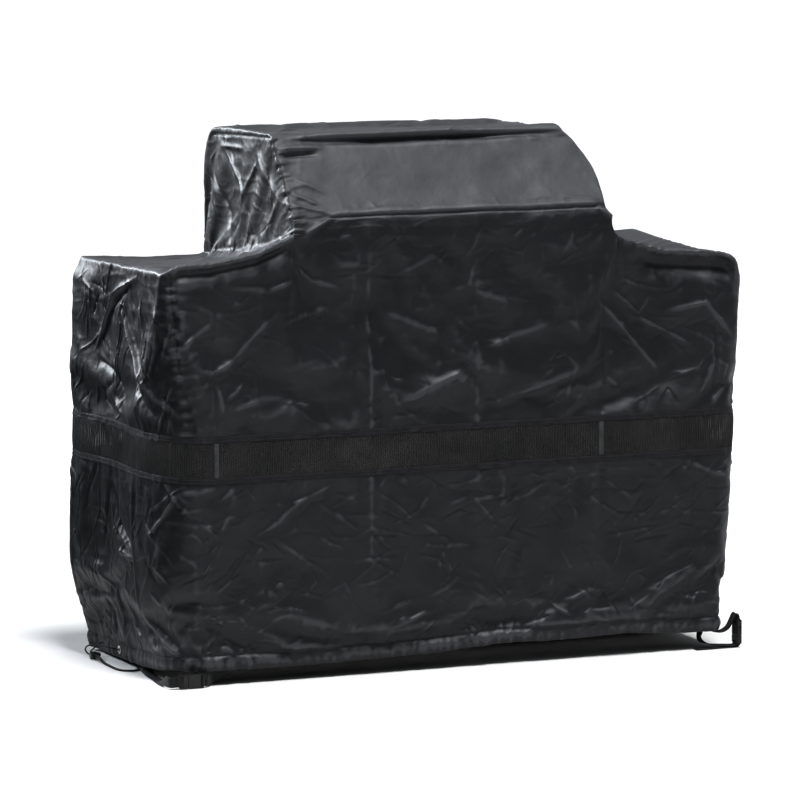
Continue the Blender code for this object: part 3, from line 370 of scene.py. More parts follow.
def hem_z(x, y):
    """The hem's height above the floor at a place on the outline."""
    front = np.interp(x, *zip(*HEM_HEIGHTS_FRONT))
    left = np.interp(y, *zip(*HEM_HEIGHTS_LEFT))
    right = np.interp(y, (-0.30, 0.30), (0.044, 0.036))
    back = np.interp(x, (-0.725, -0.55, 0.725), (0.012, 0.036, 0.036))
    away = np.stack([np.abs(y + HALF_D), np.abs(x + HALF_W), np.abs(x - HALF_W), np.abs(y - HALF_D)])
    nearness = 1 / (away + 1e-4) ** 2
    return (np.stack([front, left, right, back]) * nearness).sum(0) / nearness.sum(0)


# the front rim's height along X over both shelves; between the hood's feet it isn't used
RIM_X = (-0.725, -0.690, -0.610, -0.494, -0.415, 0.405, 0.435, 0.518, 0.674, 0.707, 0.725)
RIM_Z = (0.967, 0.983, 0.986, 1.006, 1.040, 1.015, 1.002, 0.972, 0.958, 0.947, 0.930)


def shelf_surface(x, y):
    """The height of the shelf tops, which climb to the hood, more in front than behind."""
    share = np.clip((0.655 - np.abs(x)) / (0.655 - HOOD_HALF), 0, 1)
    forward = (HALF_D - y) / (2 * HALF_D)
    behind = SHELF_Z + np.where(x < 0, 0.014, 0.020) + 0.004 * share - 0.004 * np.sin(np.pi * share)
    return behind + (np.interp(x, RIM_X, RIM_Z) - behind) * forward ** (1 + 0.4 * share)


HOOD_PROFILE = [
    (-0.300, 0.950),
    (-0.296, 1.000),
    (-0.290, 1.045),
    (-0.280, 1.086),
    (-0.248, 1.124),
    (-0.212, 1.170),
    (-0.182, 1.210),
    (-0.158, 1.240),
    (-0.150, 1.2560),
    (-0.128, 1.2640),
    (-0.060, 1.2620),
    (0.080, 1.2600),
    (0.190, 1.2570),
    (0.250, 1.2480),
    (0.284, 1.2180),
    (0.296, 1.1660),
    (0.300, 1.0500),
    (0.300, 0.960),
]
HOOD_RIGHT_Z = (1.000, 1.040, 1.080, 1.130, 1.170, 1.200, 1.235, 1.262)
HOOD_RIGHT_X = (1.0, 0.975, 0.945, 0.955, 0.940, 0.915, 0.860, 0.790)  # its right half narrows upwards


def hood_profile(count):
    """Points (y, z) spread evenly along the hood's section, from its foot in front to its foot behind."""
    points = np.array(HOOD_PROFILE)
    steps = np.r_[0, np.cumsum(np.linalg.norm(np.diff(points, axis=0), axis=1))]
    at = np.linspace(0, steps[-1], count)
    return np.interp(at, steps, points[:, 0]), np.interp(at, steps, points[:, 1])


def corner_sizes(x, y, z):
    """How far each corner's rounding reaches along X and along Y, at height z."""
    left, front = x < 0, y < 0
    low = smooth(0.95, 0.50, z)
    small = np.where(left, 0.022, np.where(front, 0.018 + 0.030 * low, 0.035 + 0.020 * low))
    rx = np.where(left & front, 0.040 + 0.085 * low, small)
    ry = np.where(left & front, 0.045 + 0.160 * low, small)
    return rx, ry


def round_corners(x, y, z):
    """Pulls a rectangle's corners in to rounded ones, for its rim and for everything inside it."""
    rx, ry = corner_sizes(x, y, z)
    p = np.clip((np.abs(x) - (HALF_W - rx)) / rx, 0, 1)
    q = np.clip((np.abs(y) - (HALF_D - ry)) / ry, 0, 1)
    px = p * np.sqrt(1 - q * q / 2)
    qy = q * np.sqrt(1 - p * p / 2)
    new_x = np.sign(x) * np.where(p > 0, HALF_W - rx + rx * px, np.abs(x))
    new_y = np.sign(y) * np.where(q > 0, HALF_D - ry + ry * qy, np.abs(y))
    return new_x, new_y


BACK_LEFT_Z = (0.02, 0.05, 0.16, 0.22, 0.43, 0.53, 0.94)
BACK_LEFT_OUT = (-0.018, -0.014, 0.016, 0.034, 0.036, 0.030, 0.024)  # the back left corner bellies out


def wall_point(x, y, z):
    """A point of the walls: rounded at the corners, leaning in to the hem, bellied at the back left."""
    px, py = round_corners(x, y, z)
    curved = HEM_INSET * np.clip((0.34 - z) / 0.31, 0, 1.1) ** 1.35
    straight = HEM_INSET * np.clip((VENT_LOW - z) / 0.449, 0, 1.05)
    inset = curved + (straight - curved) * smooth(-0.2, 0.2, x)
    foot = smooth(0.16, 0.07, z)
    belly = smooth(0.05 + 0.19 * foot, 0.28 + 0.02 * foot, y) * (x < 0)
    inset_x = inset * (1 - belly) - np.interp(z, BACK_LEFT_Z, BACK_LEFT_OUT) * belly
    inset_y = inset * (1 - smooth(-0.58, -0.70, x) * (y > 0))
    on_side = np.abs(np.abs(x) - HALF_W) < 1e-6
    on_front = np.abs(np.abs(y) - HALF_D) < 1e-6
    share_x = np.where(on_side, 1.0, smooth(HALF_W - 0.13, HALF_W, np.abs(x)))
    share_y = np.where(on_front, 1.0, smooth(HALF_D - 0.13, HALF_D, np.abs(y)))
    length = np.maximum(np.hypot(share_x, share_y), 1e-6)
    out_x = px - np.sign(x) * share_x / length * inset_x
    out_x = out_x + 0.008 * smooth(0.84, 0.93, z) * smooth(0.60, 0.70, x)
    return out_x, py - np.sign(y) * share_y / length * inset_y, z


def leg_heights(x, y, top):
    """Heights of every row of a wall, from the hem to the given top: an array rows by columns."""
    hem = hem_z(x, y)
    rows = [hem + h for h in HEM_ROWS]
    low, high = VENT_LOW - TAPE_HALF, VENT_HIGH + TAPE_HALF
    for k in range(1, SKIRT_STEPS + 1):
        rows.append(rows[3] + (low - rows[3]) * k / SKIRT_STEPS)
    rows += [np.full_like(hem, VENT_LOW), np.full_like(hem, VENT_LOW + TAPE_HALF)]
    open_height = VENT_HIGH - VENT_LOW - 2 * TAPE_HALF
    for k in range(1, BAND_STEPS + 1):
        rows.append(np.full_like(hem, VENT_LOW + TAPE_HALF + open_height * k / BAND_STEPS))
    rows += [np.full_like(hem, VENT_HIGH), np.full_like(hem, high)]
    for k in range(1, UPPER_STEPS + 1):
        rows.append(high + (top - high) * k / UPPER_STEPS)
    return np.array(rows)


LOWER_TAPE_ROW = len(HEM_ROWS) - 1 + SKIRT_STEPS  # the row below the lower tape's middle
UPPER_TAPE_ROW = LOWER_TAPE_ROW + 2 + BAND_STEPS
LEG_ROWS = UPPER_TAPE_ROW + 2 + UPPER_STEPS + 1


def station_places():
    """X of each station on the top of the cover, and on its walls' foot, where they are evenly spread."""
    foot, head = HOOD_HALF + 0.010, HOOD_HALF - 0.001
    shelf = np.linspace(HALF_W, foot, SHELF_STATIONS + 1)
    side = np.linspace(foot, head, SIDE_STATIONS + 1)[1:]
    right_half = np.r_[shelf, side][::-1]
    hood = np.linspace(-head, head, HOOD_STATIONS + 1)[1:-1]
    top = np.r_[-right_half[::-1], hood, right_half]
    walls = np.linspace(-HALF_W, HALF_W, len(top))
    return top, walls


def build_grid():
    """The cover's points, as stations by rows: up the front, over and down the back; then its ends."""
    top_x, wall_x = station_places()
    count = len(top_x)
    hood_share = np.zeros(count)
    i_side = SHELF_STATIONS
    ramp_up = np.arange(SIDE_STATIONS + 1) / SIDE_STATIONS
    hood_share[i_side : i_side + SIDE_STATIONS + 1] = ramp_up
    hood_share[i_side + SIDE_STATIONS : count - i_side - SIDE_STATIONS] = 1
    hood_share[count - i_side - SIDE_STATIONS - 1 : count - i_side] = ramp_up[::-1]
    hood_y, hood_z = hood_profile(TOP_STEPS + 1)
    shelf_y = np.linspace(-HALF_D, HALF_D, TOP_STEPS + 1)
    share = np.linspace(0, 1, TOP_STEPS + 1)

    # the top of the cover
    X, SY = np.meshgrid(top_x, shelf_y, indexing="ij")
    SZ = shelf_surface(X, SY)
    HS = hood_share[:, None]
    HY = hood_y[None, :] + 0 * X
    HZ = hood_z[None, :] + 0 * X
    foot_front = shelf_surface(X[:, :1], SY[:, :1])
    foot_back = shelf_surface(X[:, -1:], SY[:, -1:])
    on_front = np.clip(1 - (HZ - 0.95) / 0.12, 0, 1) * (share[None, :] < 0.4)
    HZ = np.where(on_front > 0, np.maximum(HZ, foot_front + (HZ - 0.95) * (1.085 - foot_front) / 0.135), HZ)
    on_back = (share[None, :] > 0.6) & (HZ < 1.15)
    HZ = np.where(on_back, np.maximum(HZ, foot_back + (HZ - 0.96) * (1.16 - foot_back) / 0.2), HZ)
    rise = np.clip(HS, 0, 1)
    TY = SY + (HY - SY) * smooth(0, 1, rise)
    TZ = SZ + (HZ - SZ) * rise
    TX = X * np.where((X > 0) & (rise > 0), np.interp(TZ, HOOD_RIGHT_Z, HOOD_RIGHT_X), 1.0)
    TZ = TZ - 0.005 * smooth(-0.10, 0.35, X) * smooth(1.10, 1.25, TZ) * rise
    RX, RY = round_corners(TX, TY, TZ)
    top_points = np.stack([np.where(rise > 0, TX, RX), np.where(rise > 0, TY, RY), TZ], -1)

    # the front and back walls
    points = np.zeros((count, 2 * LEG_ROWS - 2 + TOP_STEPS + 1, 3))
    for side, first, last in ((-1, 0, 0), (1, -1, -1)):
        y = np.full(count, side * HALF_D)
        rim = top_points[:, first, 2]
        zs = leg_heights(wall_x, y, rim)
        for r in range(LEG_ROWS):
            z = zs[r]
            top_mix = (z - VENT_HIGH - TAPE_HALF) / np.maximum(rim - VENT_HIGH - TAPE_HALF, 1e-3)
            mix = np.clip(top_mix, 0, 1)
            x = wall_x + (top_x - wall_x) * mix
            px, py, pz = wall_point(x, y, z)
            rim_x, rim_y = top_points[:, first, 0], top_points[:, first, 1]
            near = smooth(0.86, 1.0, mix)
            px = px + (rim_x - px) * near
            py = py + (rim_y - py) * near
            index = r if side < 0 else -1 - r
            points[:, index] = np.stack([px, py, pz], -1)
    points[:, LEG_ROWS - 1 : LEG_ROWS + TOP_STEPS] = top_points

    # the two ends, whose rims are the first and last stations
    ends = []
    for side, station in ((-1, 0), (1, count - 1)):
        y = shelf_y
        x = np.full(len(y), side * HALF_W)
        rim = top_points[station][:, 2]
        zs = leg_heights(x, y, rim)
        block = np.zeros((LEG_ROWS, len(y), 3))
        for r in range(LEG_ROWS):
            px, py, pz = wall_point(x, y, zs[r])
            near = smooth(0.86, 1.0, np.clip((zs[r] - VENT_HIGH) / (rim - VENT_HIGH), 0, 1))
            px = px + (top_points[station][:, 0] - px) * near
            py = py + (top_points[station][:, 1] - py) * near
            block[r] = np.stack([px, py, pz], -1)
        ends.append(block)
    return points, ends, hood_share


def panel_of(x, y, row, wall):
    """The sewn panel that a cell of a wall belongs to. wall is front, back, left or right."""
    if row >= UPPER_TAPE_ROW + 1:
        return {"front": "front_upper_panel", "back": "back_upper_panel"}.get(wall, wall + "_end_upper_panel")
    if row >= LOWER_TAPE_ROW + 1:
        if wall == "front":
            if x < -SKIRT_SEAM_X:
                return "front_left_vent_mesh"
            return "front_centre_vent_mesh" if x < VENT_SEAM_X else "front_right_vent_mesh"
        return {"back": "back_vent_mesh", "left": "left_end_vent_mesh", "right": "right_end_vent_mesh"}[wall]
    if wall in ("front", "back") and abs(x) < SKIRT_SEAM_X:
        return wall + "_skirt_panel"
    if x > 0:
        return "right_end_skirt_panel"
    front_part = wall == "front" or (wall == "left" and y < CLOSING_SEAM_Y)
    return "left_front_skirt_panel" if front_part else "left_back_skirt_panel"


def cover_arrays():
    """Flat arrays of points, quads and panel names for the whole cover."""
    points, ends, hood_share = build_grid()
    count, rows = points.shape[:2]
    flat = [points.reshape(-1, 3)]
    index = np.arange(count * rows).reshape(count, rows)
    quads, names = [], []
    last_leg = LEG_ROWS - 1
    last_top = last_leg + TOP_STEPS
    _, wall_x = station_places()
    for i in range(count - 1):
        x = (wall_x[i] + wall_x[i + 1]) / 2
        both = hood_share[i] + hood_share[i + 1]
        left = i < count / 2
        for k in range(rows - 1):
            quads.append((index[i, k], index[i + 1, k], index[i + 1, k + 1], index[i, k + 1]))
            if k < last_leg:
                names.append(panel_of(x, -HALF_D, k, "front"))
            elif k >= last_top:
                names.append(panel_of(x, HALF_D, rows - 2 - k, "back"))
            elif both == 0:
                names.append("left_shelf_top_panel" if left else "right_shelf_top_panel")
            elif both < 2:
                names.append("hood_left_side_panel" if left else "hood_right_side_panel")
            else:
                y, z = points[i, k, 1], points[i, k, 2]
                over = "hood_top_panel" if z > 1.14 else "back_upper_panel"
                names.append("front_upper_panel" if y < -0.13 else over)
    used = count * rows
    shelf_y = np.linspace(-HALF_D, HALF_D, TOP_STEPS + 1)
    end_index = []
    for number, (block, station) in enumerate(zip(ends, (0, count - 1))):
        wall, side = (("left", -1), ("right", 1))[number]
        inner = np.full((LEG_ROWS, TOP_STEPS + 1), -1, int)
        inner[:, 0] = index[station, :LEG_ROWS]
        inner[:, -1] = index[station, ::-1][:LEG_ROWS]
        inner[-1, :] = index[station, last_leg : last_top + 1]
        free = inner < 0
        inner[free] = used + np.arange(free.sum())
        used += free.sum()
        flat.append(block[free])
        end_index.append(inner)
        for r in range(LEG_ROWS - 1):
            for c in range(TOP_STEPS):
                quad = (inner[r, c], inner[r, c + 1], inner[r + 1, c + 1], inner[r + 1, c])
                quads.append(quad[::-1] if number == 0 else quad)
                names.append(panel_of(side, (shelf_y[c] + shelf_y[c + 1]) / 2, r, wall))
    return np.concatenate(flat), np.array(quads), names, index, end_index


# -------- folds put in before the cloth is draped
def outward_normals(points, quads):
    """Unit normals at the points."""
    corners = points[quads]
    normal = np.cross(corners[:, 2] - corners[:, 0], corners[:, 3] - corners[:, 1])
    total = np.zeros_like(points)
    for k in range(4):
        np.add.at(total, quads[:, k], normal)
    length = np.linalg.norm(total, axis=1, keepdims=True)
    return total / np.maximum(length, 1e-12)


def along_line(points, start, end):
    """How far each point lies from a straight line, and its share of the way along it."""
    a, b = np.array(start, float), np.array(end, float)
    d = b - a
    t = (points - a) @ d / (d @ d)
    away = np.linalg.norm(points - (a + np.clip(t, 0, 1)[:, None] * d), axis=1)
    return away, t


FRONT_Y = -0.30
LEFT_X = -0.725
HOOD_X = -0.405


def placed(axis, shared, *folds):
    """Folds whose points leave out a coordinate that they share; a point of three stays as it is."""
    full = []
    for *path, height, width in folds:
        path = [p if len(p) == 3 else (*p[:axis], shared, *p[axis:]) for p in path]
        full.append((path, height, width))
    return full


# Folds given one by one: each is a line of points, then its height, below zero for a furrow, and its width.
PACKING_FOLDS = placed(
    1,
    FRONT_Y,
    ((-0.222, 1.06), (-0.216, 0.05), 0.0028, 0.022),
    ((0.047, 1.08), (0.052, 0.06), 0.0018, 0.020),
    ((0.375, 1.02), (0.372, 0.06), -0.0030, 0.020),
    ((-0.603, 0.93), (-0.600, 0.60), -0.0022, 0.007),
    ((0.661, 0.80), (0.661, 0.62), -0.0040, 0.007),
)
FRONT_FOLDS = placed(
    1,
    FRONT_Y,
    # from the ends of the hood's crease down to the shelves
    ((-0.291, -0.285, 1.090), (-0.392, -0.298, 1.035), 0.0060, 0.010),
    ((0.352, -0.285, 1.085), (0.450, -0.298, 1.008), 0.0060, 0.010),
    ((-0.566, 0.930), (-0.466, 0.920), (-0.406, 0.942), 0.0042, 0.009),
    ((-0.409, 0.980), (-0.360, 0.938), (-0.290, 0.921), 0.0038, 0.009),
    ((-0.434, 0.845), (-0.315, 0.880), 0.0030, 0.008),
    ((-0.600, 0.720), (-0.455, 0.865), 0.0050, 0.016),
    ((-0.690, 0.790), (-0.608, 0.853), 0.0060, 0.012),
    ((-0.641, 0.745), (-0.603, 0.735), (-0.560, 0.761), 0.0035, 0.008),
    ((-0.585, 0.640), (-0.595, 0.700), 0.0035, 0.009),
    ((-0.560, 0.650), (-0.500, 0.665), 0.0030, 0.008),
    ((-0.212, -0.297, 1.020), (-0.153, -0.292, 1.046), 0.0030, 0.007),
    ((-0.080, -0.295, 1.010), (0.020, -0.290, 1.048), 0.0026, 0.008),
    ((-0.160, 0.940), (-0.060, 0.985), 0.0024, 0.009),
    ((0.039, 0.900), (0.128, 0.872), 0.0032, 0.010),
    ((0.040, 0.960), (0.030, 0.915), 0.0026, 0.007),
    ((-0.180, 0.860), (-0.030, 0.800), 0.0030, 0.018),
    ((0.060, 0.760), (0.240, 0.820), 0.0034, 0.018),
    ((-0.160, 0.640), (0.020, 0.720), 0.0032, 0.016),
    ((0.120, 0.640), (0.300, 0.700), 0.0030, 0.014),
    ((0.354, 0.872), (0.440, 0.775), (0.528, 0.672), 0.0050, 0.016),
    ((0.400, 0.880), (0.470, 0.828), (0.500, 0.870), 0.0038, 0.009),
    ((0.445, 0.826), (0.551, 0.770), (0.595, 0.747), 0.0044, 0.008),
    ((0.528, 0.827), (0.634, 0.842), (0.700, 0.762), 0.0060, 0.016),
    ((0.380, 0.680), (0.424, 0.644), 0.0032, 0.008),
    ((0.420, 0.910), (0.480, 0.885), 0.0028, 0.008),
    ((0.690, 0.640), (0.655, 0.600), 0.0045, 0.010),
    ((0.620, 0.620), (0.650, 0.690), 0.0040, 0.010),
    ((-0.469, 0.368), (-0.395, 0.425), (-0.301, 0.466), 0.0050, 0.011),
    ((-0.300, 0.440), (-0.255, 0.425), 0.0026, 0.007),
    ((-0.090, 0.362), (-0.036, 0.325), (0.004, 0.298), (0.020, 0.318), 0.0046, 0.009),
    ((0.052, 0.316), (0.132, 0.284), (0.176, 0.334), 0.0056, 0.009),
    ((-0.266, 0.188), (-0.124, 0.112), -0.0050, 0.013),
    ((-0.117, 0.226), (0.008, 0.190), 0.0042, 0.010),
    ((0.176, 0.112), (0.250, 0.155), (0.317, 0.207), 0.0044, 0.011),
    ((0.397, 0.140), (0.520, 0.170), (0.662, 0.222), 0.0052, 0.010),
    ((0.430, 0.116), (0.560, 0.134), 0.0040, 0.009),
    ((0.582, 0.334), (0.635, 0.376), 0.0048, 0.009),
    ((0.591, 0.466), (0.650, 0.440), (0.706, 0.424), 0.0056, 0.008),
    ((0.575, 0.462), (0.600, 0.440), 0.0040, 0.007),
    ((0.547, 0.302), (0.591, 0.240), 0.0040, 0.010),
    ((0.061, 0.210), (0.105, 0.130), -0.0060, 0.009),
    ((0.000, 0.120), (0.080, 0.095), -0.0060, 0.010),
    ((0.290, 0.130), (0.330, 0.080), -0.0060, 0.010),
    ((-0.434, 0.330), (-0.370, 0.285), (-0.310, 0.250), 0.0034, 0.010),
    ((0.240, 0.440), (0.330, 0.395), 0.0034, 0.012),
    ((-0.040, 0.440), (0.060, 0.455), 0.0030, 0.010),
    ((0.300, 0.330), (0.450, 0.250), 0.0034, 0.016),
    ((-0.550, 0.250), (-0.420, 0.200), 0.0030, 0.014),
    ((-0.673, -0.285, 0.116), (-0.593, 0.073), (-0.497, 0.112), 0.0070, 0.009),
    ((-0.650, -0.285, 0.110), (-0.600, 0.086), 0.0050, 0.007),
    ((-0.490, 0.100), (-0.400, 0.106), 0.0040, 0.009),
    ((-0.590, 0.440), (-0.560, 0.465), 0.0040, 0.008),
    ((-0.590, 0.370), (-0.570, 0.400), 0.0040, 0.010),
)
CORNER_FOLDS = placed(
    0,
    LEFT_X,
    ((-0.700, -0.270, 0.404), (-0.664, -0.290, 0.374),
     (-0.639, -0.296, 0.392), (-0.602, FRONT_Y, 0.362), 0.0046, 0.008),
    ((-0.689, -0.270, 0.251), (-0.639, -0.294, 0.191), 0.0040, 0.009),
    ((-0.690, -0.250, 0.450), (-0.640, -0.295, 0.462), (-0.605, FRONT_Y, 0.470), 0.0034, 0.008),
    ((-0.075, 0.470), (-0.722, -0.080, 0.330), (-0.712, -0.105, 0.160), 0.0070, 0.012),
    ((-0.045, 0.450), (-0.060, 0.330), (-0.716, -0.090, 0.190), -0.0100, 0.014),
    ((-0.706, -0.120, 0.150), (-0.690, -0.190, 0.090), (-0.668, -0.250, 0.062), 0.0100, 0.011),
    ((-0.712, -0.080, 0.140), (-0.698, -0.150, 0.070), -0.0080, 0.012),
    ((0.010, 0.292), (-0.722, -0.075, 0.276), 0.0070, 0.009),
    ((0.280, 0.195), (0.200, 0.232), (0.110, 0.240), 0.0110, 0.014),
    ((0.260, 0.165), (0.170, 0.200), -0.0070, 0.012),
    ((0.240, 0.340), (0.190, 0.280), (0.100, 0.262), 0.0070, 0.012),
    ((0.210, 0.410), (0.190, 0.330), -0.0060, 0.012),
    ((0.060, 0.430), (0.020, 0.350), (-0.060, 0.300), -0.0070, 0.014),
    ((-0.716, 0.230, 0.160), (-0.700, 0.205, 0.060), 0.0080, 0.012),
    ((-0.716, 0.120, 0.170), (-0.700, 0.145, 0.060), -0.0070, 0.012),
    ((-0.714, 0.060, 0.190), (-0.699, 0.020, 0.050), 0.0080, 0.014),
    ((-0.712, 0.000, 0.160), (-0.700, -0.060, 0.060), 0.0060, 0.012),
)
LEFT_END_FOLDS = placed(
    0,
    LEFT_X,
    ((-0.110, 0.940), (0.030, 0.890), (0.100, 0.820), (0.155, 0.745), 0.0130, 0.012),
    ((-0.070, 0.925), (0.060, 0.850), -0.0080, 0.014),
    ((-0.010, 0.860), (-0.080, 0.780), (-0.150, 0.720), (-0.700, -0.265, 0.640), 0.0120, 0.012),
    ((-0.060, 0.760), (-0.130, 0.680), (-0.715, -0.200, 0.630), -0.0080, 0.014),
    ((-0.722, -0.190, 0.915), (-0.715, -0.240, 0.850), (-0.700, -0.275, 0.780), 0.0070, 0.011),
    ((-0.120, 0.900), (-0.180, 0.760), (-0.712, -0.230, 0.690), 0.0060, 0.012),
    ((0.290, 0.735), (0.180, 0.752), (0.060, 0.720), 0.0070, 0.011),
    ((0.220, 0.800), (0.120, 0.725), (0.020, 0.700), -0.0080, 0.012),
    ((0.200, 0.910), (0.140, 0.860), 0.0050, 0.012),
    ((0.270, 0.850), (0.180, 0.800), 0.0050, 0.012),
    ((0.030, 0.640), (-0.030, 0.610), 0.0060, 0.010),
    ((0.120, 0.650), (0.040, 0.680), -0.0060, 0.012),
    ((-0.712, -0.235, 0.660), (-0.690, -0.275, 0.610), 0.0100, 0.010),
)
SHELF_FOLDS = [
    ([(-0.700, -0.250, 0.940), (-0.440, 0.180, 0.960)], 0.0080, 0.024),
    ([(-0.450, -0.260, 1.020), (-0.620, 0.050, 0.950)], -0.0070, 0.024),
    ([(-0.690, 0.100, 0.940), (-0.470, -0.120, 0.980)], 0.0060, 0.018),
    ([(-0.660, -0.280, 0.940), (-0.430, -0.200, 1.020)], 0.0060, 0.014),
    ([(0.440, 0.100, 0.960), (0.700, -0.200, 0.940)], 0.0070, 0.024),
    ([(0.460, -0.250, 1.000), (0.690, -0.050, 0.940)], -0.0060, 0.020),
]
HOOD_FOLDS = placed(
    0,
    HOOD_X,
    ((0.030, 1.075), (0.190, 0.965), 0.0130, 0.008),
    ((0.010, 1.060), (0.150, 0.960), -0.0090, 0.012),
    ((0.150, 1.210), (0.060, 1.150), (0.010, 1.110), (0.030, 1.070), 0.0100, 0.010),
    ((0.175, 1.212), (0.020, 1.216), 0.0060, 0.009),
    ((0.010, 1.110), (-0.060, 1.190), 0.0080, 0.012),
    ((-0.060, 1.210), (-0.200, 1.120), 0.0060, 0.014),
    ((0.000, 1.090), (-0.120, 0.990), -0.0070, 0.016),
    ((-0.200, 1.110), (-0.130, 1.010), 0.0080, 0.012),
    ((0.230, 1.160), (0.120, 1.060), (0.080, 0.990), -0.0080, 0.016),
    ((0.260, 1.080), (0.210, 0.990), 0.0060, 0.012),
    ((-HOOD_X, 0.200, 1.000), (-HOOD_X, -0.100, 1.200), 0.0100, 0.020),
    ((-HOOD_X, 0.050, 1.000), (-HOOD_X, -0.180, 1.100), -0.0080, 0.018),
    ((-0.397, -0.262, 1.110), (-0.310, -0.278, 1.094), 0.0050, 0.008),
    ((-0.395, -0.240, 1.135), (-0.330, -0.262, 1.108), 0.0036, 0.008),
    ((-0.380, -0.215, 1.165), (-0.300, -0.245, 1.128), 0.0024, 0.010),
    ((0.150, -0.175, 1.215), (0.330, -0.215, 1.165), 0.0022, 0.012),
    ((-0.395, -0.178, 1.214), (-0.300, -0.176, 1.216), -0.0100, 0.008),
    ((-0.395, -0.168, 1.230), (-0.290, -0.168, 1.231), 0.0060, 0.010),
)
ALL_FOLDS = PACKING_FOLDS + FRONT_FOLDS + CORNER_FOLDS + LEFT_END_FOLDS + SHELF_FOLDS + HOOD_FOLDS
FOLD_SHARPNESS = 0.62  # the fine folds' width against that of the folds put in before the drape


def fold_height(points, path, height, width):
    """A fold's offset: a sharp crest along its line, a soft furrow beside it, fading at both ends."""
    path = np.array(path, float)
    reach = 5 * width + 0.01
    low, high = path.min(0) - reach, path.max(0) + reach
    near = np.nonzero(((points > low) & (points < high)).all(1))[0]
    total = np.zeros(len(points))
    if not len(near):
        return total
    lengths = np.linalg.norm(np.diff(path, axis=0), axis=1)
    whole, before = lengths.sum(), 0.0
    nearest = np.full(len(near), 9.0)
    along = np.zeros(len(near))
    for start, end, length in zip(path, path[1:], lengths):
        away, t = along_line(points[near], start, end)
        closer = away < nearest
        nearest = np.where(closer, away, nearest)
        along = np.where(closer, (before + np.clip(t, 0, 1) * length) / whole, along)
        before += length
    ends = smooth(0.0, 0.22, along) * smooth(1.0, 0.80, along)
    crest = np.exp(-nearest / width) - 0.28 * np.exp(-((nearest / (2.6 * width)) ** 2))
    total[near] = height * crest * (0.25 + 0.75 * ends) * smooth(reach, 0.6 * reach, nearest)
    return total


def fold_offsets(points, sharpness=1.0):
    """How far the listed folds push every point out."""
    total = np.zeros(len(points))
    for path, height, width in ALL_FOLDS:
        total += fold_height(points, path, height, width * sharpness)
    return total


def formed_offsets(points):
    """The broad forms that the sewing makes: the hood's rolled edge, its crease, and the shelves' lips."""
    x, y, z = points.T
    slope = smooth(-0.10, -0.14, y) * smooth(-0.26, -0.20, y)
    under = bell(z, 1.243, 0.0065) * smooth(-0.10, -0.14, y)
    total = -0.013 * under * smooth(-0.30, -0.14, x) * smooth(0.26, 0.05, x)
    total -= 0.004 * under * smooth(-0.38, -0.30, x) * smooth(0.32, 0.24, x)
    total += 0.005 * bell(z, 1.258, 0.007) * smooth(-0.10, -0.14, y) * smooth(-0.36, -0.25, x)
    total += 0.0008 * slope
    across = smooth(-0.33, -0.28, x) * smooth(0.38, 0.34, x)
    total += 0.0045 * tent(z, 1.087, 0.010) * smooth(-0.24, -0.26, y) * across
    rim = shelf_surface(x, np.full_like(x, -HALF_D))
    drop = rim - z
    front = smooth(-0.27, -0.29, y)
    left = smooth(-0.40, -0.45, x) * smooth(-0.72, -0.68, x)
    right = smooth(0.44, 0.50, x) * smooth(0.722, 0.69, x)
    total += front * left * (0.004 * bell(drop, 0.0, 0.007) - 0.010 * bell(drop, 0.022, 0.013))
    total += front * right * (0.006 * bell(drop, 0.0, 0.009) - 0.017 * bell(drop, 0.036, 0.024))
    return total


CREASE_WIDTH = 0.72  # the scattered creases against the widths listed for them


def scattered_folds(points, facing, seed, count, face, area, length, height, width, slant):
    """Short creases on one face: face is its outward direction, area its box in the two others."""
    rng = np.random.default_rng(seed)
    face = np.array(face, float)
    axes = [a for a in range(3) if abs(face[a]) < 0.5]
    mask = smooth(0.45, 0.85, facing @ face)
    mine = np.nonzero(mask > 0)[0]
    flat = points[mine][:, axes]
    total = np.zeros(len(points))
    found = np.zeros(len(mine))
    (u0, u1), (v0, v1) = area
    for _ in range(count):
        middle = np.array([rng.uniform(u0, u1), rng.uniform(v0, v1)])
        angle = math.radians(rng.choice([-1, 1], p=[0.4, 0.6]) * rng.normal(*slant))
        bent = angle + math.radians(rng.normal(0, 12))
        if rng.random() < 0.15:
            bent -= math.radians(rng.uniform(50, 100))
        size = rng.uniform(*length) * 0.5
        crest = rng.uniform(*height) * (1 if rng.random() < 0.62 else -0.8)
        wide = rng.uniform(*width) * CREASE_WIDTH
        first = middle - size * np.array([math.cos(angle), math.sin(angle)])
        last = middle + size * np.array([math.cos(bent), math.sin(bent)])
        reach = 5 * wide
        low = np.minimum(np.minimum(first, last), middle) - reach
        high = np.maximum(np.maximum(first, last), middle) + reach
        near = np.nonzero(((flat > low) & (flat < high)).all(1))[0]
        if not len(near):
            continue
        spot = flat[near]
        nearest = np.full(len(near), 9.0)
        along = np.zeros(len(near))
        for start, end, base in ((first, middle, 0.0), (middle, last, 0.5)):
            d = end - start
            t = np.clip((spot - start) @ d / max(d @ d, 1e-9), 0, 1)
            away = np.linalg.norm(spot - start - t[:, None] * d, axis=1)
            closer = away < nearest
            nearest = np.where(closer, away, nearest)
            along = np.where(closer, base + t / 2, along)
        shape = np.exp(-nearest / wide) - 0.25 * np.exp(-((nearest / (2.4 * wide)) ** 2))
        found[near] += crest * shape * smooth(0, 0.3, along) * smooth(1, 0.7, along)
    total[mine] = found * mask[mine]
    return total


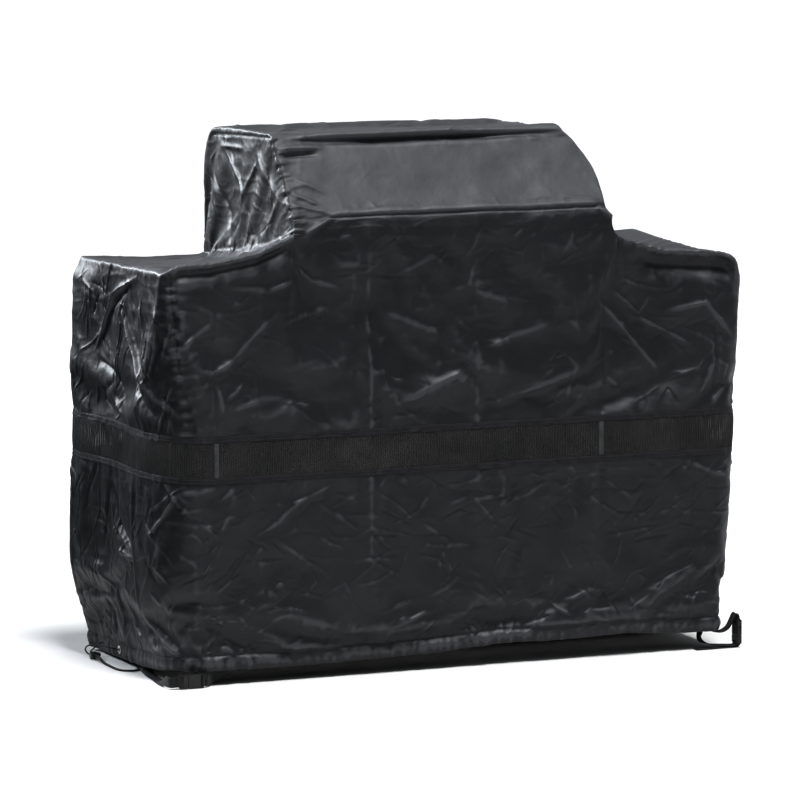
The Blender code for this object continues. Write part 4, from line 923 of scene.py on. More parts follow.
FRONT, BACK, LEFT, RIGHT, ABOVE = (0, -1, 0), (0, 1, 0), (-1, 0, 0), (1, 0, 0), (0, 0, 1)
SCATTER = [
    # seed, count, face, area, length, height, width, slant in degrees (middle, spread)
    (101, 230, FRONT, ((-0.70, 0.70), (0.60, 1.04)),
     (0.03, 0.14), (0.0006, 0.0020), (0.0025, 0.007), (24, 20)),
    (102, 280, FRONT, ((-0.70, 0.70), (0.06, 0.47)),
     (0.03, 0.15), (0.0009, 0.0028), (0.0025, 0.007), (28, 22)),
    (103, 130, BACK, ((-0.70, 0.70), (0.60, 1.15)), (0.04, 0.16), (0.0010, 0.0030), (0.006, 0.012), (30, 25)),
    (104, 150, BACK, ((-0.70, 0.70), (0.06, 0.47)), (0.04, 0.16), (0.0010, 0.0030), (0.006, 0.012), (30, 25)),
    (105, 90, LEFT, ((-0.28, 0.28), (0.60, 0.93)), (0.05, 0.17), (0.0014, 0.0038), (0.004, 0.008), (62, 18)),
    (106, 100, LEFT, ((-0.28, 0.28), (0.05, 0.47)), (0.05, 0.17), (0.0014, 0.0038), (0.004, 0.008), (60, 22)),
    (107, 90, RIGHT, ((-0.28, 0.28), (0.60, 0.93)), (0.04, 0.15), (0.0014, 0.0040), (0.006, 0.011), (58, 22)),
    (108, 90, RIGHT, ((-0.28, 0.28), (0.05, 0.47)), (0.04, 0.15), (0.0014, 0.0040), (0.006, 0.011), (58, 22)),
    (109, 70, ABOVE, ((-0.72, 0.72), (-0.28, 0.28)),
     (0.04, 0.14), (0.0010, 0.0030), (0.006, 0.012), (30, 35)),
    (110, 30, LEFT, ((-0.20, 0.28), (0.96, 1.24)), (0.05, 0.15), (0.0010, 0.0024), (0.004, 0.008), (52, 22)),
    (111, 40, RIGHT, ((-0.20, 0.28), (0.96, 1.24)), (0.05, 0.15), (0.0012, 0.0032), (0.004, 0.008), (52, 22)),
]


def seam_puckers(points):
    """Short gathers along the sewn corners, strongest at the seam itself."""
    lines = [
        ((-0.712, -0.290, 0.965), (-0.672, -0.285, 0.59), 0.014, 0.0052),
        ((-0.405, -0.15, 1.255), (-0.405, -0.265, 1.10), 0.018, 0.0040),
        ((-0.405, -0.265, 1.10), (-0.412, -0.29, 1.045), 0.018, 0.0040),
        ((-0.700, -0.295, 0.982), (-0.560, -0.298, 0.992), 0.012, 0.0030),
        ((-0.560, -0.298, 0.992), (-0.415, -0.292, 1.040), 0.012, 0.0035),
        ((0.415, -0.292, 1.012), (0.518, -0.297, 0.972), 0.012, 0.0028),
        ((0.518, -0.297, 0.972), (0.700, -0.298, 0.952), 0.012, 0.0028),
        ((-0.725, CLOSING_SEAM_Y, 0.46), (-0.700, CLOSING_SEAM_Y, 0.03), 0.014, 0.0035),
        ((-0.405, -0.15, 1.255), (-0.405, 0.24, 1.235), 0.014, 0.0025),
        ((-0.725, -0.25, 0.978), (-0.735, 0.26, 0.952), 0.012, 0.0025),
        ((-0.42, 0.27, 0.95), (-0.42, -0.24, 1.03), 0.016, 0.0030),
    ]
    total = np.zeros(len(points))
    for number, (start, end, reach, height) in enumerate(lines):
        away, t = along_line(points, start, end)
        length = float(np.linalg.norm(np.subtract(end, start)))
        inside = (t > -0.03) & (t < 1.03)
        near = np.exp(-away / reach) * inside
        along = np.stack([t * length, away * 0.35, np.full(len(points), number * 3.1)], -1)
        pucker = value_noise(along, 0.011, number) + 0.5 * value_noise(along, 0.006, number + 20)
        total += height * near * pucker
        total -= 0.0022 * bell(away, 0, 0.0035) * inside
    return total


# -------- meshes and the cloth
def mesh_object(name, points, faces, smooth_shading=True):
    faces = np.asarray(faces, np.int32)
    count, sides = faces.shape
    mesh = bpy.data.meshes.new(name)
    mesh.vertices.add(len(points))
    mesh.vertices.foreach_set("co", np.asarray(points, np.float32).reshape(-1))
    mesh.loops.add(count * sides)
    mesh.loops.foreach_set("vertex_index", faces.reshape(-1))
    mesh.polygons.add(count)
    mesh.polygons.foreach_set("loop_start", np.arange(count, dtype=np.int32) * sides)
    mesh.update(calc_edges=True)
    if smooth_shading:
        mesh.shade_smooth()
    obj = bpy.data.objects.new(name, mesh)
    SCENE.collection.objects.link(obj)
    return obj


def coordinates(mesh):
    found = np.empty(len(mesh.vertices) * 3)
    mesh.vertices.foreach_get("co", found)
    return found.reshape(-1, 3)


def normals_of(mesh):
    found = np.empty(len(mesh.vertices) * 3)
    mesh.vertices.foreach_get("normal", found)
    return found.reshape(-1, 3)


CLOTH_SETTINGS = {
    "quality": 5,
    "mass": 0.22,
    "air_damping": 2.0,
    "tension_stiffness": 22,
    "compression_stiffness": 22,
    "shear_stiffness": 12,
    "bending_stiffness": 1.6,
    "tension_damping": 8,
    "compression_damping": 8,
    "shear_damping": 8,
    "bending_damping": 0.6,
    "vertex_group_mass": "held",
    "pin_stiffness": 1.0,
    "shrink_min": -0.018,
}
CLOTH_GRAVITY = 0.12
CLOTH_FRAMES = 22
LARGEST_MOVE = 0.022
MOVE_KEPT = 0.85  # how much of the cloth's buckling stays
EYELETS_AT_REST = [(-0.697, 0.104, 0.030), (-0.697, 0.225, 0.026)]


def drape(points, quads):
    """Runs the cloth: it is a little longer than the shape that holds it, so it buckles into folds."""
    cloth = mesh_object("cloth_work", points, quads)
    group = cloth.vertex_groups.new(name="held")
    x, y, z = points.T
    held = np.full(len(points), 0.09)
    held = np.maximum(held, 0.30 * bell(z, VENT_LOW, 0.02))
    held = np.maximum(held, 0.30 * bell(z, VENT_HIGH, 0.02))
    held = np.maximum(held, 0.55 * smooth(0.10, 0.03, z))
    held = np.maximum(held, 0.6 * slope_share(points))
    for start, end in SEAM_LINES:
        away, _ = along_line(points, start, end)
        held = np.maximum(held, 0.5 * np.exp(-((away / 0.02) ** 2)))
    for place in EYELETS_AT_REST:
        away = np.linalg.norm(points - np.array(place), axis=1)
        held = np.maximum(held, smooth(0.035, 0.018, away))
    levels = np.round(held, 2)
    for value in np.unique(levels):
        group.add([int(i) for i in np.nonzero(levels == value)[0]], float(value), "REPLACE")
    modifier = cloth.modifiers.new("cloth", "CLOTH")
    settings = modifier.settings
    for name, value in CLOTH_SETTINGS.items():
        setattr(settings, name, value)
    settings.effector_weights.gravity = CLOTH_GRAVITY
    modifier.collision_settings.use_collision = False
    modifier.collision_settings.use_self_collision = False
    modifier.point_cache.frame_start = 1
    modifier.point_cache.frame_end = CLOTH_FRAMES
    for step in range(1, CLOTH_FRAMES + 1):
        SCENE.frame_set(step)
    graph = bpy.context.evaluated_depsgraph_get()
    settled = coordinates(cloth.evaluated_get(graph).data).copy()
    SCENE.frame_set(1)
    bpy.data.objects.remove(cloth, do_unlink=True)
    move = settled - points
    length = np.linalg.norm(move, axis=1, keepdims=True)
    taut = smooth(0.99, 1.05, z) * smooth(-0.10, -0.16, y) * smooth(-0.44, -0.36, x) * smooth(0.46, 0.38, x)
    kept = MOVE_KEPT * (1 - 0.9 * taut)[:, None]
    return points + kept * move * np.minimum(1, LARGEST_MOVE / np.maximum(length, 1e-9))


SEAM_LINES = [
    ((-0.712, -0.290, 0.965), (-0.672, -0.285, 0.59)),
    ((-0.405, -0.15, 1.255), (-0.405, -0.265, 1.10)),
    ((-0.405, -0.265, 1.10), (-0.412, -0.29, 1.045)),
    ((-0.405, -0.15, 1.255), (-0.405, 0.24, 1.235)),
    ((0.405, -0.15, 1.25), (0.405, 0.24, 1.23)),
    ((0.405, -0.15, 1.25), (0.405, -0.265, 1.08)),
    ((-0.700, -0.295, 0.982), (-0.560, -0.298, 0.992)),
    ((-0.56, -0.298, 0.992), (-0.412, -0.292, 1.040)),
    ((0.415, -0.292, 1.012), (0.518, -0.297, 0.972)),
    ((0.518, -0.297, 0.972), (0.700, -0.298, 0.952)),
    ((-0.725, -0.25, 0.978), (-0.735, 0.26, 0.952)),
    ((0.725, -0.26, 0.940), (0.725, 0.26, 0.955)),
    ((-0.725, CLOSING_SEAM_Y, 0.46), (-0.700, CLOSING_SEAM_Y, 0.03)),
    ((-0.40, 0.235, 1.24), (0.40, 0.235, 1.235)),
    ((-0.40, -0.145, 1.255), (0.40, -0.145, 1.25)),
]


def slope_share(points):
    """1 on the hood's smooth slope, 0 elsewhere."""
    x, y, z = points.T
    across = smooth(-0.36, -0.29, x) * smooth(0.37, 0.33, x)
    return across * smooth(1.095, 1.115, z) * smooth(1.235, 1.215, z) * smooth(-0.10, -0.14, y)


def crumple(points):
    """Shallow facets all over, as in stiff coated cloth that has been folded and shaken out."""
    warp = np.stack([value_noise(points, 0.07, s) for s in (31, 32, 33)], -1) * 0.020
    p = points + warp
    broad = fold_noise(p, (0.085, 0.085, 0.060), 41) ** 3
    middle = fold_noise(p, (0.045, 0.045, 0.034), 42) ** 3
    fine = fold_noise(p, (0.022, 0.022, 0.018), 43) ** 2
    patchy = 0.55 + 0.45 * value_noise(points, 0.22, 44)
    return (0.0026 * (broad - 0.35) + 0.0017 * (middle - 0.35) + 0.0007 * (fine - 0.4)) * patchy


def hollows(points, facing):
    """Broad upright hollows where the cloth hangs in over the long faces; they only go inward."""
    z = points[:, 2]
    level = smooth(0.05, 0.14, z) * smooth(1.06, 0.96, z)
    beside_tapes = 1 - 0.85 * smooth(VENT_LOW - 0.05, VENT_LOW, z) * smooth(VENT_HIGH + 0.05, VENT_HIGH, z)
    deep = smooth(-0.25, 0.75, value_noise(points, (0.120, 0.50, 0.260), 81))
    deep += 0.6 * smooth(-0.1, 0.8, value_noise(points, (0.075, 0.40, 0.150), 82))
    away = smooth(0.70, 0.60, np.abs(points[:, 0]))
    return 0.0085 * deep * level * beside_tapes * away * smooth(0.80, 0.95, -facing[:, 1])


def gathers(points):
    """Pleats of the drawstring channel and just above it."""
    x, y, z = points.T
    hem = hem_z(np.clip(x, -HALF_W, HALF_W), np.clip(y, -HALF_D, HALF_D))
    up = z - hem
    along = np.stack([x * 1.0 + y * 0.3, y * 1.0, up * 0.25], -1)
    pleat = value_noise(along, 0.020, 51) + 0.6 * value_noise(along, 0.011, 52)
    puff = 0.0035 * bell(up, 0.016, 0.013)
    stitch = -0.0028 * bell(up, CHANNEL, 0.0045)
    lumpy = 0.5 + 0.9 * bell(x, 0.12, 0.13) + 0.4 * bell(x, -0.62, 0.1)
    return 0.0034 * pleat * smooth(0.085, 0.015, up) * lumpy + puff + stitch


def around_and_row(count, index, end_index):
    """Each point's distance round the cover from the front left corner, and its row up the wall."""
    around = np.zeros(count)
    row = np.full(count, LEG_ROWS + 5.0)
    _, wall_x = station_places()
    y = np.linspace(-HALF_D, HALF_D, TOP_STEPS + 1)
    last = index.shape[1] - 1
    for r in range(LEG_ROWS):
        around[index[:, r]] = wall_x + HALF_W
        around[index[:, last - r]] = 2 * HALF_W + 2 * HALF_D + HALF_W - wall_x
        row[index[:, r]] = r
        row[index[:, last - r]] = r
        for number, inner in enumerate(end_index):
            value = 2 * HALF_W + HALF_D + y if number else 4 * HALF_W + 3 * HALF_D - y
            around[inner[r, 1:-1]] = value[1:-1]
            row[inner[r, 1:-1]] = r
    return around, row


def read_attribute(mesh, name, width):
    """A point attribute as numbers: one per point, or one row of three per point."""
    found = np.empty(len(mesh.vertices) * width, np.float32)
    mesh.attributes[name].data.foreach_get("vector" if width == 3 else "value", found)
    found = found.astype(float)
    return found.reshape(-1, width) if width > 1 else found


class Cover:
    """The finished cloth: its fine points, normals and faces, and where its points were before the drape."""


def fine_cover(points, quads, names, rest, facing, around, row):
    """The draped cloth subdivided, with all its folds, creases and gathers."""
    whole = mesh_object("whole_cover", points, quads)
    kinds = sorted(set(names))
    kind_of = whole.data.attributes.new("panel", "INT", "FACE")
    kind_of.data.foreach_set("value", np.array([kinds.index(n) for n in names], np.int32))
    for name, values in (("rest", rest), ("facing", facing)):
        attribute = whole.data.attributes.new(name, "FLOAT_VECTOR", "POINT")
        attribute.data.foreach_set("vector", values.astype(np.float32).reshape(-1))
    for name, values in (("around", around), ("row", row)):
        attribute = whole.data.attributes.new(name, "FLOAT", "POINT")
        attribute.data.foreach_set("value", values.astype(np.float32))
    divide = whole.modifiers.new("divide", "SUBSURF")
    divide.levels = divide.render_levels = 2
    graph = bpy.context.evaluated_depsgraph_get()
    mesh = bpy.data.meshes.new_from_object(whole.evaluated_get(graph))
    bpy.data.objects.remove(whole, do_unlink=True)
    count = len(mesh.vertices)
    cover = Cover()
    cover.kinds = kinds
    cover.rest = read_attribute(mesh, "rest", 3)
    facing = read_attribute(mesh, "facing", 3)
    cover.around = read_attribute(mesh, "around", 1)
    cover.row = read_attribute(mesh, "row", 1)
    cover.kind = np.empty(len(mesh.polygons), np.int32)
    mesh.attributes["panel"].data.foreach_get("value", cover.kind)
    cover.faces = np.empty(len(mesh.loops), np.int32)
    mesh.loops.foreach_get("vertex_index", cover.faces)
    cover.faces = cover.faces.reshape(-1, 4)
    co = coordinates(mesh)
    normal = normals_of(mesh)
    original = cover.rest
    z = original[:, 2]
    on_band = smooth(VENT_LOW - 0.016, VENT_LOW - 0.004, z) * smooth(VENT_HIGH + 0.016, VENT_HIGH + 0.004, z)
    offset = 0.8 * crumple(original) + 1.25 * fold_offsets(original, FOLD_SHARPNESS)
    for settings in SCATTER:
        offset += 1.45 * scattered_folds(original, facing, *settings)
    offset *= (1 - 0.8 * on_band) * (1 - 0.85 * slope_share(original))
    offset -= hollows(original, facing)
    offset += formed_offsets(original)
    offset += gathers(original)
    offset += seam_puckers(original)
    near_eyelets = np.zeros(count)
    for place in EYELETS:
        away = np.linalg.norm(original - np.array(place), axis=1)
        near_eyelets = np.maximum(near_eyelets, smooth(0.030, 0.016, away))
    co = co + normal * (offset * (1 - near_eyelets))[:, None]
    mesh.vertices.foreach_set("co", co.reshape(-1))
    mesh.update()
    cover.normal = normals_of(mesh)
    cover.points = co
    cover.crest = crest_wear_and_painted_sheen(cover)
    bpy.data.meshes.remove(mesh)
    return cover


def crest_wear_and_painted_sheen(cover):
    """From 0 to 1, how pale the cloth is: sharp fold crests, partly rubbed wear and partly a painted
    highlight, and a painted sheen on what faces up.
    """
    faces, count = cover.faces, len(cover.points)
    a, b = faces.reshape(-1), np.roll(faces, -1, axis=1).reshape(-1)
    share = np.maximum(np.bincount(a, minlength=count) + np.bincount(b, minlength=count), 1)

    def averaged(values):
        total = np.bincount(a, values[b], count) + np.bincount(b, values[a], count)
        return total / share

    field = cover.points.copy()
    for _ in range(CREST_ROUNDS[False]):
        field = np.stack([averaged(field[:, k]) for k in range(3)], -1)
    out = ((cover.points - field) * cover.normal).sum(1)
    for _ in range(2):
        out = averaged(out)
    # sharp crests: partly wear, partly painted highlight; faces that look up: painted sheen of the sky
    worn = 0.50 * smooth(0.00015, 0.0011, out)
    return np.clip(worn + 0.62 * smooth(0.30, 0.62, cover.normal[:, 2]), 0, 1)


CREST_ROUNDS = (10, 3)  # in full and quick: the finer mesh needs more rounds to look as far about


def keep(piece, material, body="cover", nodes=()):
    """Finishes a piece: its material, the body it rides on and the CAD nodes it stands for."""
    piece.data.materials.clear()
    piece.data.materials.append(material)
    if body:
        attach(piece, body)
    if nodes:
        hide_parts(*nodes)
    return piece


def panel_pieces(cover):
    made = {}
    for number, kind in enumerate(cover.kinds):
        used, inverse = np.unique(cover.faces[cover.kind == number], return_inverse=True)
        name = kind.replace("_panel", "_cloth").replace("_mesh", "_net")
        piece = mesh_object(name, cover.points[used], inverse.reshape(-1, 4))
        piece.data.normals_split_custom_set_from_vertices(cover.normal[used].tolist())
        # crest carries the crests' wear with their painted highlight, and the painted sheen on up-facing
        # faces, to the material
        crest = piece.data.attributes.new("crest", "FLOAT", "POINT")
        crest.data.foreach_set("value", cover.crest[used].astype(np.float32))
        material, slot = (VENT, "vent_mesh") if "vent" in kind else (SHELL, "shell_fabric")
        made[kind] = keep(piece, material, nodes=[kind])
    return made


def laid_on(name, cover, faces, low, high):
    """A closed strip lying on the cover over these faces, between two offsets along the normals."""
    used, inverse = np.unique(faces, return_inverse=True)
    top = inverse.reshape(-1, 4)
    count = len(used)
    at, up = cover.points[used], cover.normal[used]
    low, high = (v[used] if isinstance(v, np.ndarray) else v for v in (low, high))
    spread = [np.broadcast_to(v, count) for v in (low, high)]
    points = np.concatenate([at + up * spread[1][:, None], at + up * spread[0][:, None]])
    starts = top.reshape(-1).astype(np.int64)
    ends = np.roll(top, -1, axis=1).reshape(-1).astype(np.int64)
    open_edges = ~np.isin(starts * count + ends, ends * count + starts)
    a, b = starts[open_edges], ends[open_edges]
    sides = np.stack([b, a, a + count, b + count], -1)
    return mesh_object(name, points, np.concatenate([top, top[:, ::-1] + count, sides]))


def faces_in_rows(cover, low, high):
    """The faces whose rows up the wall lie between these."""
    rows = cover.row[cover.faces]
    return (rows.min(1) > low - 0.01) & (rows.max(1) < high + 0.01)


def row_line(cover, row, inset, keep_points=None):
    """Points and normals along one row of the wall, in order round the cover."""
    chosen = np.abs(cover.row - row) < 0.05
    if keep_points is not None:
        chosen &= keep_points
    chosen = np.nonzero(chosen)[0]
    turn = np.arctan2(cover.rest[chosen, 1] / HALF_D, cover.rest[chosen, 0] / HALF_W)
    chosen = chosen[np.argsort(turn)]
    return cover.points[chosen] + cover.normal[chosen] * inset, cover.normal[chosen]


def column_line(cover, around, low, high, inset):
    """Points and normals up the wall at this distance round it, between two rows."""
    near = np.abs(cover.around - around) < 0.006
    rows = (cover.row > low - 0.01) & (cover.row < high + 0.01)
    chosen = np.nonzero(near & rows)[0]
    nearest = cover.around[chosen][np.argmin(np.abs(cover.around[chosen] - around))]
    chosen = chosen[np.abs(cover.around[chosen] - nearest) < 0.0004]
    chosen = chosen[np.argsort(cover.row[chosen])]
    return cover.points[chosen] + cover.normal[chosen] * inset, cover.normal[chosen]


STITCH_LENGTH = 0.0031
STITCH_PITCH = 0.0043
STITCH_WIDTH = 0.0009
STITCH_HIGH = 0.00045


def interpolated(at, steps, values):
    return np.stack([np.interp(at, steps, values[:, k]) for k in range(3)], -1)


def stitch_arrays(path, ups, closed):
    """A row of stitches along a line: points and faces."""
    if closed:
        path, ups = np.vstack([path, path[:1]]), np.vstack([ups, ups[:1]])
    steps = np.r_[0, np.cumsum(np.linalg.norm(np.diff(path, axis=0), axis=1))]
    starts = np.arange(0.002, steps[-1] - STITCH_PITCH, STITCH_PITCH)
    ends = [interpolated(starts + extra, steps, path) for extra in (0, STITCH_LENGTH)]
    up = interpolated(starts, steps, ups)
    ahead = unit(ends[1] - ends[0])
    aside = unit(np.cross(up, ahead))
    corners = []
    for rise, wide, pull in ((-0.0004, 1.0, 0.0), (STITCH_HIGH, 0.55, 0.0004)):
        for end, sign in ((0, 1), (1, -1)):
            for side in (-1, 1):
                at = ends[end] + ahead * pull * sign + aside * side * wide * STITCH_WIDTH / 2 + up * rise
                corners.append(at)
    points = np.stack(corners, 1).reshape(-1, 3)
    box = np.array([(0, 1, 3, 2), (4, 6, 7, 5), (0, 2, 6, 4), (1, 5, 7, 3), (0, 4, 5, 1), (2, 3, 7, 6)])
    faces = (box[None] + 8 * np.arange(len(starts))[:, None, None]).reshape(-1, 4)
    return points, faces


def joined(parts):
    """Several lots of points and faces as one."""
    points, faces, used = [], [], 0
    for some_points, some_faces in parts:
        points.append(some_points)
        faces.append(some_faces + used)
        used += len(some_points)
    return np.concatenate(points), np.concatenate(faces)


def unit(vectors):
    return vectors / np.maximum(np.linalg.norm(vectors, axis=1, keepdims=True), 1e-9)


def swept_faces(rings, sides):
    """The faces between rings of points that follow each other along a line."""
    i, k = np.meshgrid(np.arange(rings - 1), np.arange(sides), indexing="ij")
    after = (k + 1) % sides
    faces = np.stack([i * sides + k, i * sides + after, (i + 1) * sides + after, (i + 1) * sides + k], -1)
    return faces.reshape(-1, 4)


def round_tube(name, path, radius, sides=10, outward=None):
    """A round cord along an almost level line, or a wire whose outward directions are given."""
    path = np.array(path, float)
    ahead = unit(np.gradient(path, axis=0))
    aside = unit(np.cross(ahead, (0.0, 0.0, 1.0)) if outward is None else outward)
    up = np.cross(aside, ahead)
    turn = 2 * math.pi * np.arange(sides) / sides
    ring = aside[:, None] * np.cos(turn)[None, :, None] + up[:, None] * np.sin(turn)[None, :, None]
    points = (path[:, None] + radius * ring).reshape(-1, 3)
    return mesh_object(name, points, swept_faces(len(path), sides)[:, ::-1])


# -------- the drawstring's free ends, as in the CAD model
CORD_R = 0.00175
CORD_INSET = 0.0060
LOCK_X = -0.7410
LOCK_Y = 0.160
LOCK_CORD_Z = 0.0096
STRAND_APART = 0.0020
KNOT = Vector((-0.672, 0.020, 0.0050))


def smooth_through(points, per_span):
    """Points on a smooth curve through the given ones."""
    points = [Vector(p) for p in points]
    padded = [2 * points[0] - points[1], *points, 2 * points[-1] - points[-2]]
    found = []
    for i in range(1, len(padded) - 2):
        a, b, c, d = padded[i - 1 : i + 3]
        for k in range(per_span):
            t = k / per_span
            linear = 2 * b + (c - a) * t
            curved = (2 * a - 5 * b + 4 * c - d) * t * t + (3 * b - a - 3 * c + d) * t**3
            found.append(0.5 * (linear + curved))
    found.append(points[-1])
    return found


TAIL_ROUTE = [
    (LOCK_X, 0.1740, LOCK_CORD_Z),
    (LOCK_X, LOCK_Y, LOCK_CORD_Z),
    (LOCK_X, 0.1400, LOCK_CORD_Z),
    (LOCK_X + 0.0002, 0.1200, 0.0088),
    (LOCK_X + 0.0010, 0.1030, 0.0048),
    (LOCK_X + 0.0018, 0.0850, 0.0021),
    (LOCK_X + 0.0020, 0.0500, 0.0019),
    (LOCK_X + 0.0030, 0.0160, 0.0019),
    (LOCK_X + 0.0090, -0.0100, 0.0019),
    (-0.7170, -0.0230, 0.0019),
    (-0.7010, -0.0230, 0.0019),
    (-0.6880, -0.0120, 0.0021),
    (KNOT.x - 0.0045, KNOT.y - 0.0060, 0.0036),
]


def beside(points, offset, upright_to):
    """A line beside the given one: above it at the start, turned to its left by point number upright_to."""
    found = []
    for i, point in enumerate(points):
        ahead = points[min(i + 1, len(points) - 1)] - points[max(i - 1, 0)]
        ahead.z = 0
        ahead.normalize()
        turn = math.pi / 2 * max(1 - max(i - 4, 0) / (upright_to - 4), 0)
        aside = Vector((-ahead.y, ahead.x, 0)) * math.cos(turn) + Vector((0, 0, 1)) * math.sin(turn)
        found.append(point + aside * offset)
    return found


def strand_points(eyelet, side):
    """A free end: out of its eyelet, through the lock and along the floor to the knot."""
    x, y, z = eyelet
    inwards = 1 if y > LOCK_Y else -1
    high = side * STRAND_APART
    out = [
        (x + CORD_INSET, y + inwards * 0.0125, z),
        (x + 0.0059, y + inwards * 0.0090, z),
        (x + 0.0049, y + inwards * 0.0050, z),
        (x + 0.0026, y + inwards * 0.0018, z),
        (x - 0.0003, y - inwards * 0.0008, z),
        (x - 0.0050, y - inwards * 0.0038, z - 0.0004),
    ]
    if inwards > 0:
        out += [
            (x - 0.0180, y - 0.0110, z - 0.0040),
            (x - 0.0320, y - 0.0230, z - 0.0100),
            (LOCK_X + 0.0010, 0.1870, LOCK_CORD_Z + high + 0.0010),
        ]
    else:
        out += [
            (x - 0.0150, 0.1050, 0.0330),
            (x - 0.0260, 0.1220, 0.0340),
            (x - 0.0330, 0.1450, 0.0350),
            (x - 0.0400, 0.1700, 0.0330),
            (x - 0.0500, 0.1930, 0.0260),
            (LOCK_X - 0.0060, 0.2030, 0.0150),
            (LOCK_X - 0.0020, 0.1920, LOCK_CORD_Z + high - 0.0004),
        ]
    tail = beside(smooth_through(TAIL_ROUTE, 3), side * STRAND_APART, 12)
    return smooth_through([*out, tail[0]], 3)[:-1] + tail


def cord_curve(name, points):
    curve = bpy.data.curves.new(name, "CURVE")
    curve.dimensions = "3D"
    spline = curve.splines.new("POLY")
    spline.points.add(len(points) - 1)
    for target, point in zip(spline.points, points):
        target.co = (*point, 1.0)
    curve.bevel_depth = CORD_R
    curve.bevel_resolution = 3
    curve.use_fill_caps = True
    obj = bpy.data.objects.new(name, curve)
    SCENE.collection.objects.link(obj)
    return obj


# -------- webbing, on the CAD model's routes
MM = 0.001
WEBBING_WIDE = 0.025
WEBBING_THICK = 0.0015
SELVEDGE_OUT = (1.0, 0.97, 0.88, 0.80, 0.62, 0.5, 0.30, 0.18)  # the section, edge inwards
SELVEDGE_RISE = (0.10, 0.42, 0.50, 0.34, 0.48, 0.36, 0.48, 0.36)  # and its height there
MIDDLE_RISE = 0.48
SOCKET_LENGTH = 38.0
PLUG_LENGTH = 20.0
SEWN_INSET = 0.01185
UP = (0, 0, 1)
ACROSS = (0, 1, 0)
LEAN_SLOPE = HEM_INSET / (VENT_LOW - 0.036)


def lean(z):
    return HEM_INSET * (VENT_LOW - z) / (VENT_LOW - 0.036)


def axes(origin, along_axis, across_axis):
    """A placement whose local X and Y run along the two directions."""
    u, v = Vector(along_axis), Vector(across_axis)
    turn = Matrix((u, v, u.cross(v))).transposed().to_4x4()
    return Matrix.Translation(origin) @ turn


def webbing_piece(name, stations):
    """A ribbon through (point, direction of its width), with soft selvedges and lengthwise ribs."""
    points = smooth_through([p for p, _ in stations], 5)
    widths = smooth_through([w for _, w in stations], 5)
    out = np.array(SELVEDGE_OUT)
    across = np.r_[-out, 0.0, out[::-1]]
    rise = np.r_[SELVEDGE_RISE, MIDDLE_RISE, SELVEDGE_RISE[::-1]]
    profile = np.r_[np.stack([across / 2, rise], -1), np.stack([across[::-1] / 2, -rise[::-1]], -1)]
    rings = []
    for i, (point, wide) in enumerate(zip(points, widths)):
        ahead = points[min(i + 1, len(points) - 1)] - points[max(i - 1, 0)]
        ahead.normalize()
        wide = (wide - ahead * wide.dot(ahead)).normalized()
        thick = np.array(ahead.cross(wide))
        aside = np.array(wide) * WEBBING_WIDE
        rings.append(np.array(point) + profile[:, :1] * aside + profile[:, 1:] * thick * WEBBING_THICK)
    sides, count = len(profile), len(rings)
    ends = []
    for base in (0, (count - 1) * sides):
        for k in range(len(across) - 1):
            quad = [base + k, base + k + 1, base + sides - 2 - k, base + sides - 1 - k]
            ends.append(quad[::-1] if base == 0 else quad)
    faces = np.concatenate([swept_faces(count, sides), np.array(ends)])
    body = mesh_object(name, np.concatenate(rings), faces)
    mesh = bmesh.new()
    mesh.from_mesh(body.data)
    bmesh.ops.recalc_face_normals(mesh, faces=mesh.faces)
    mesh.to_mesh(body.data)
    mesh.free()
    return body


def bar_loop(place, end, across, tail):
    """The webbing round a buckle's bar, from the tail's end to where both layers lie together."""
    far = SOCKET_LENGTH if end < 0 else PLUG_LENGTH
    flat = 0.98
    route = [
        (far + 3.5 + tail, -flat),
        (far + 3.5, -flat),
        (far + 1.8, -2.2),
        (far - 0.5, -3.35),
        (far - 3.2, -3.35),
        (far - 4.5, -2.7),
        (far - 5.0, -1.2),
        (far - 5.0, 1.2),
        (far - 4.5, 2.7),
        (far - 3.2, 3.35),
        (far - 0.5, 3.35),
        (far + 1.8, 2.2),
        (far + 3.5, flat),
        (far + 7.0, flat),
    ]
    return [(place @ (Vector((end * u, 0, w)) * MM), Vector(across)) for u, w in route]


def end_inner_x(z):
    return HALF_W - SEWN_INSET - lean(z)


def hem_run(place, end, facing):
    """Webbing from a buckle that stands under a straight hem, up to where it is sewn behind it."""
    far = SOCKET_LENGTH if end < 0 else PLUG_LENGTH
    start = place @ (Vector((end * (far + 7.0), 0, 0)) * MM)
    step = 1 if (place.to_3x3() @ Vector((end, 0, 0))).x > 0 else -1
    leaning = (0, facing * LEAN_SLOPE, 1)
    z = start.z
    steps = [(0.006, 0.10, 0.0002), (0.014, 0.48, 0.0006), (0.023, 0.88, 0.0018), (0.033, 1.0, 0.0060)]
    steps += [(0.046, 1.0, 0.0160), (0.060, 1.0, 0.0270), (0.076, 1.0, 0.0320)]
    route = []
    for dx, share, dz in steps:
        inner_y = facing * (HALF_D - SEWN_INSET - lean(z + dz) - 0.0005)
        route.append(((start.x + step * dx, start.y + (inner_y - start.y) * share, z + dz), leaning))
    return route


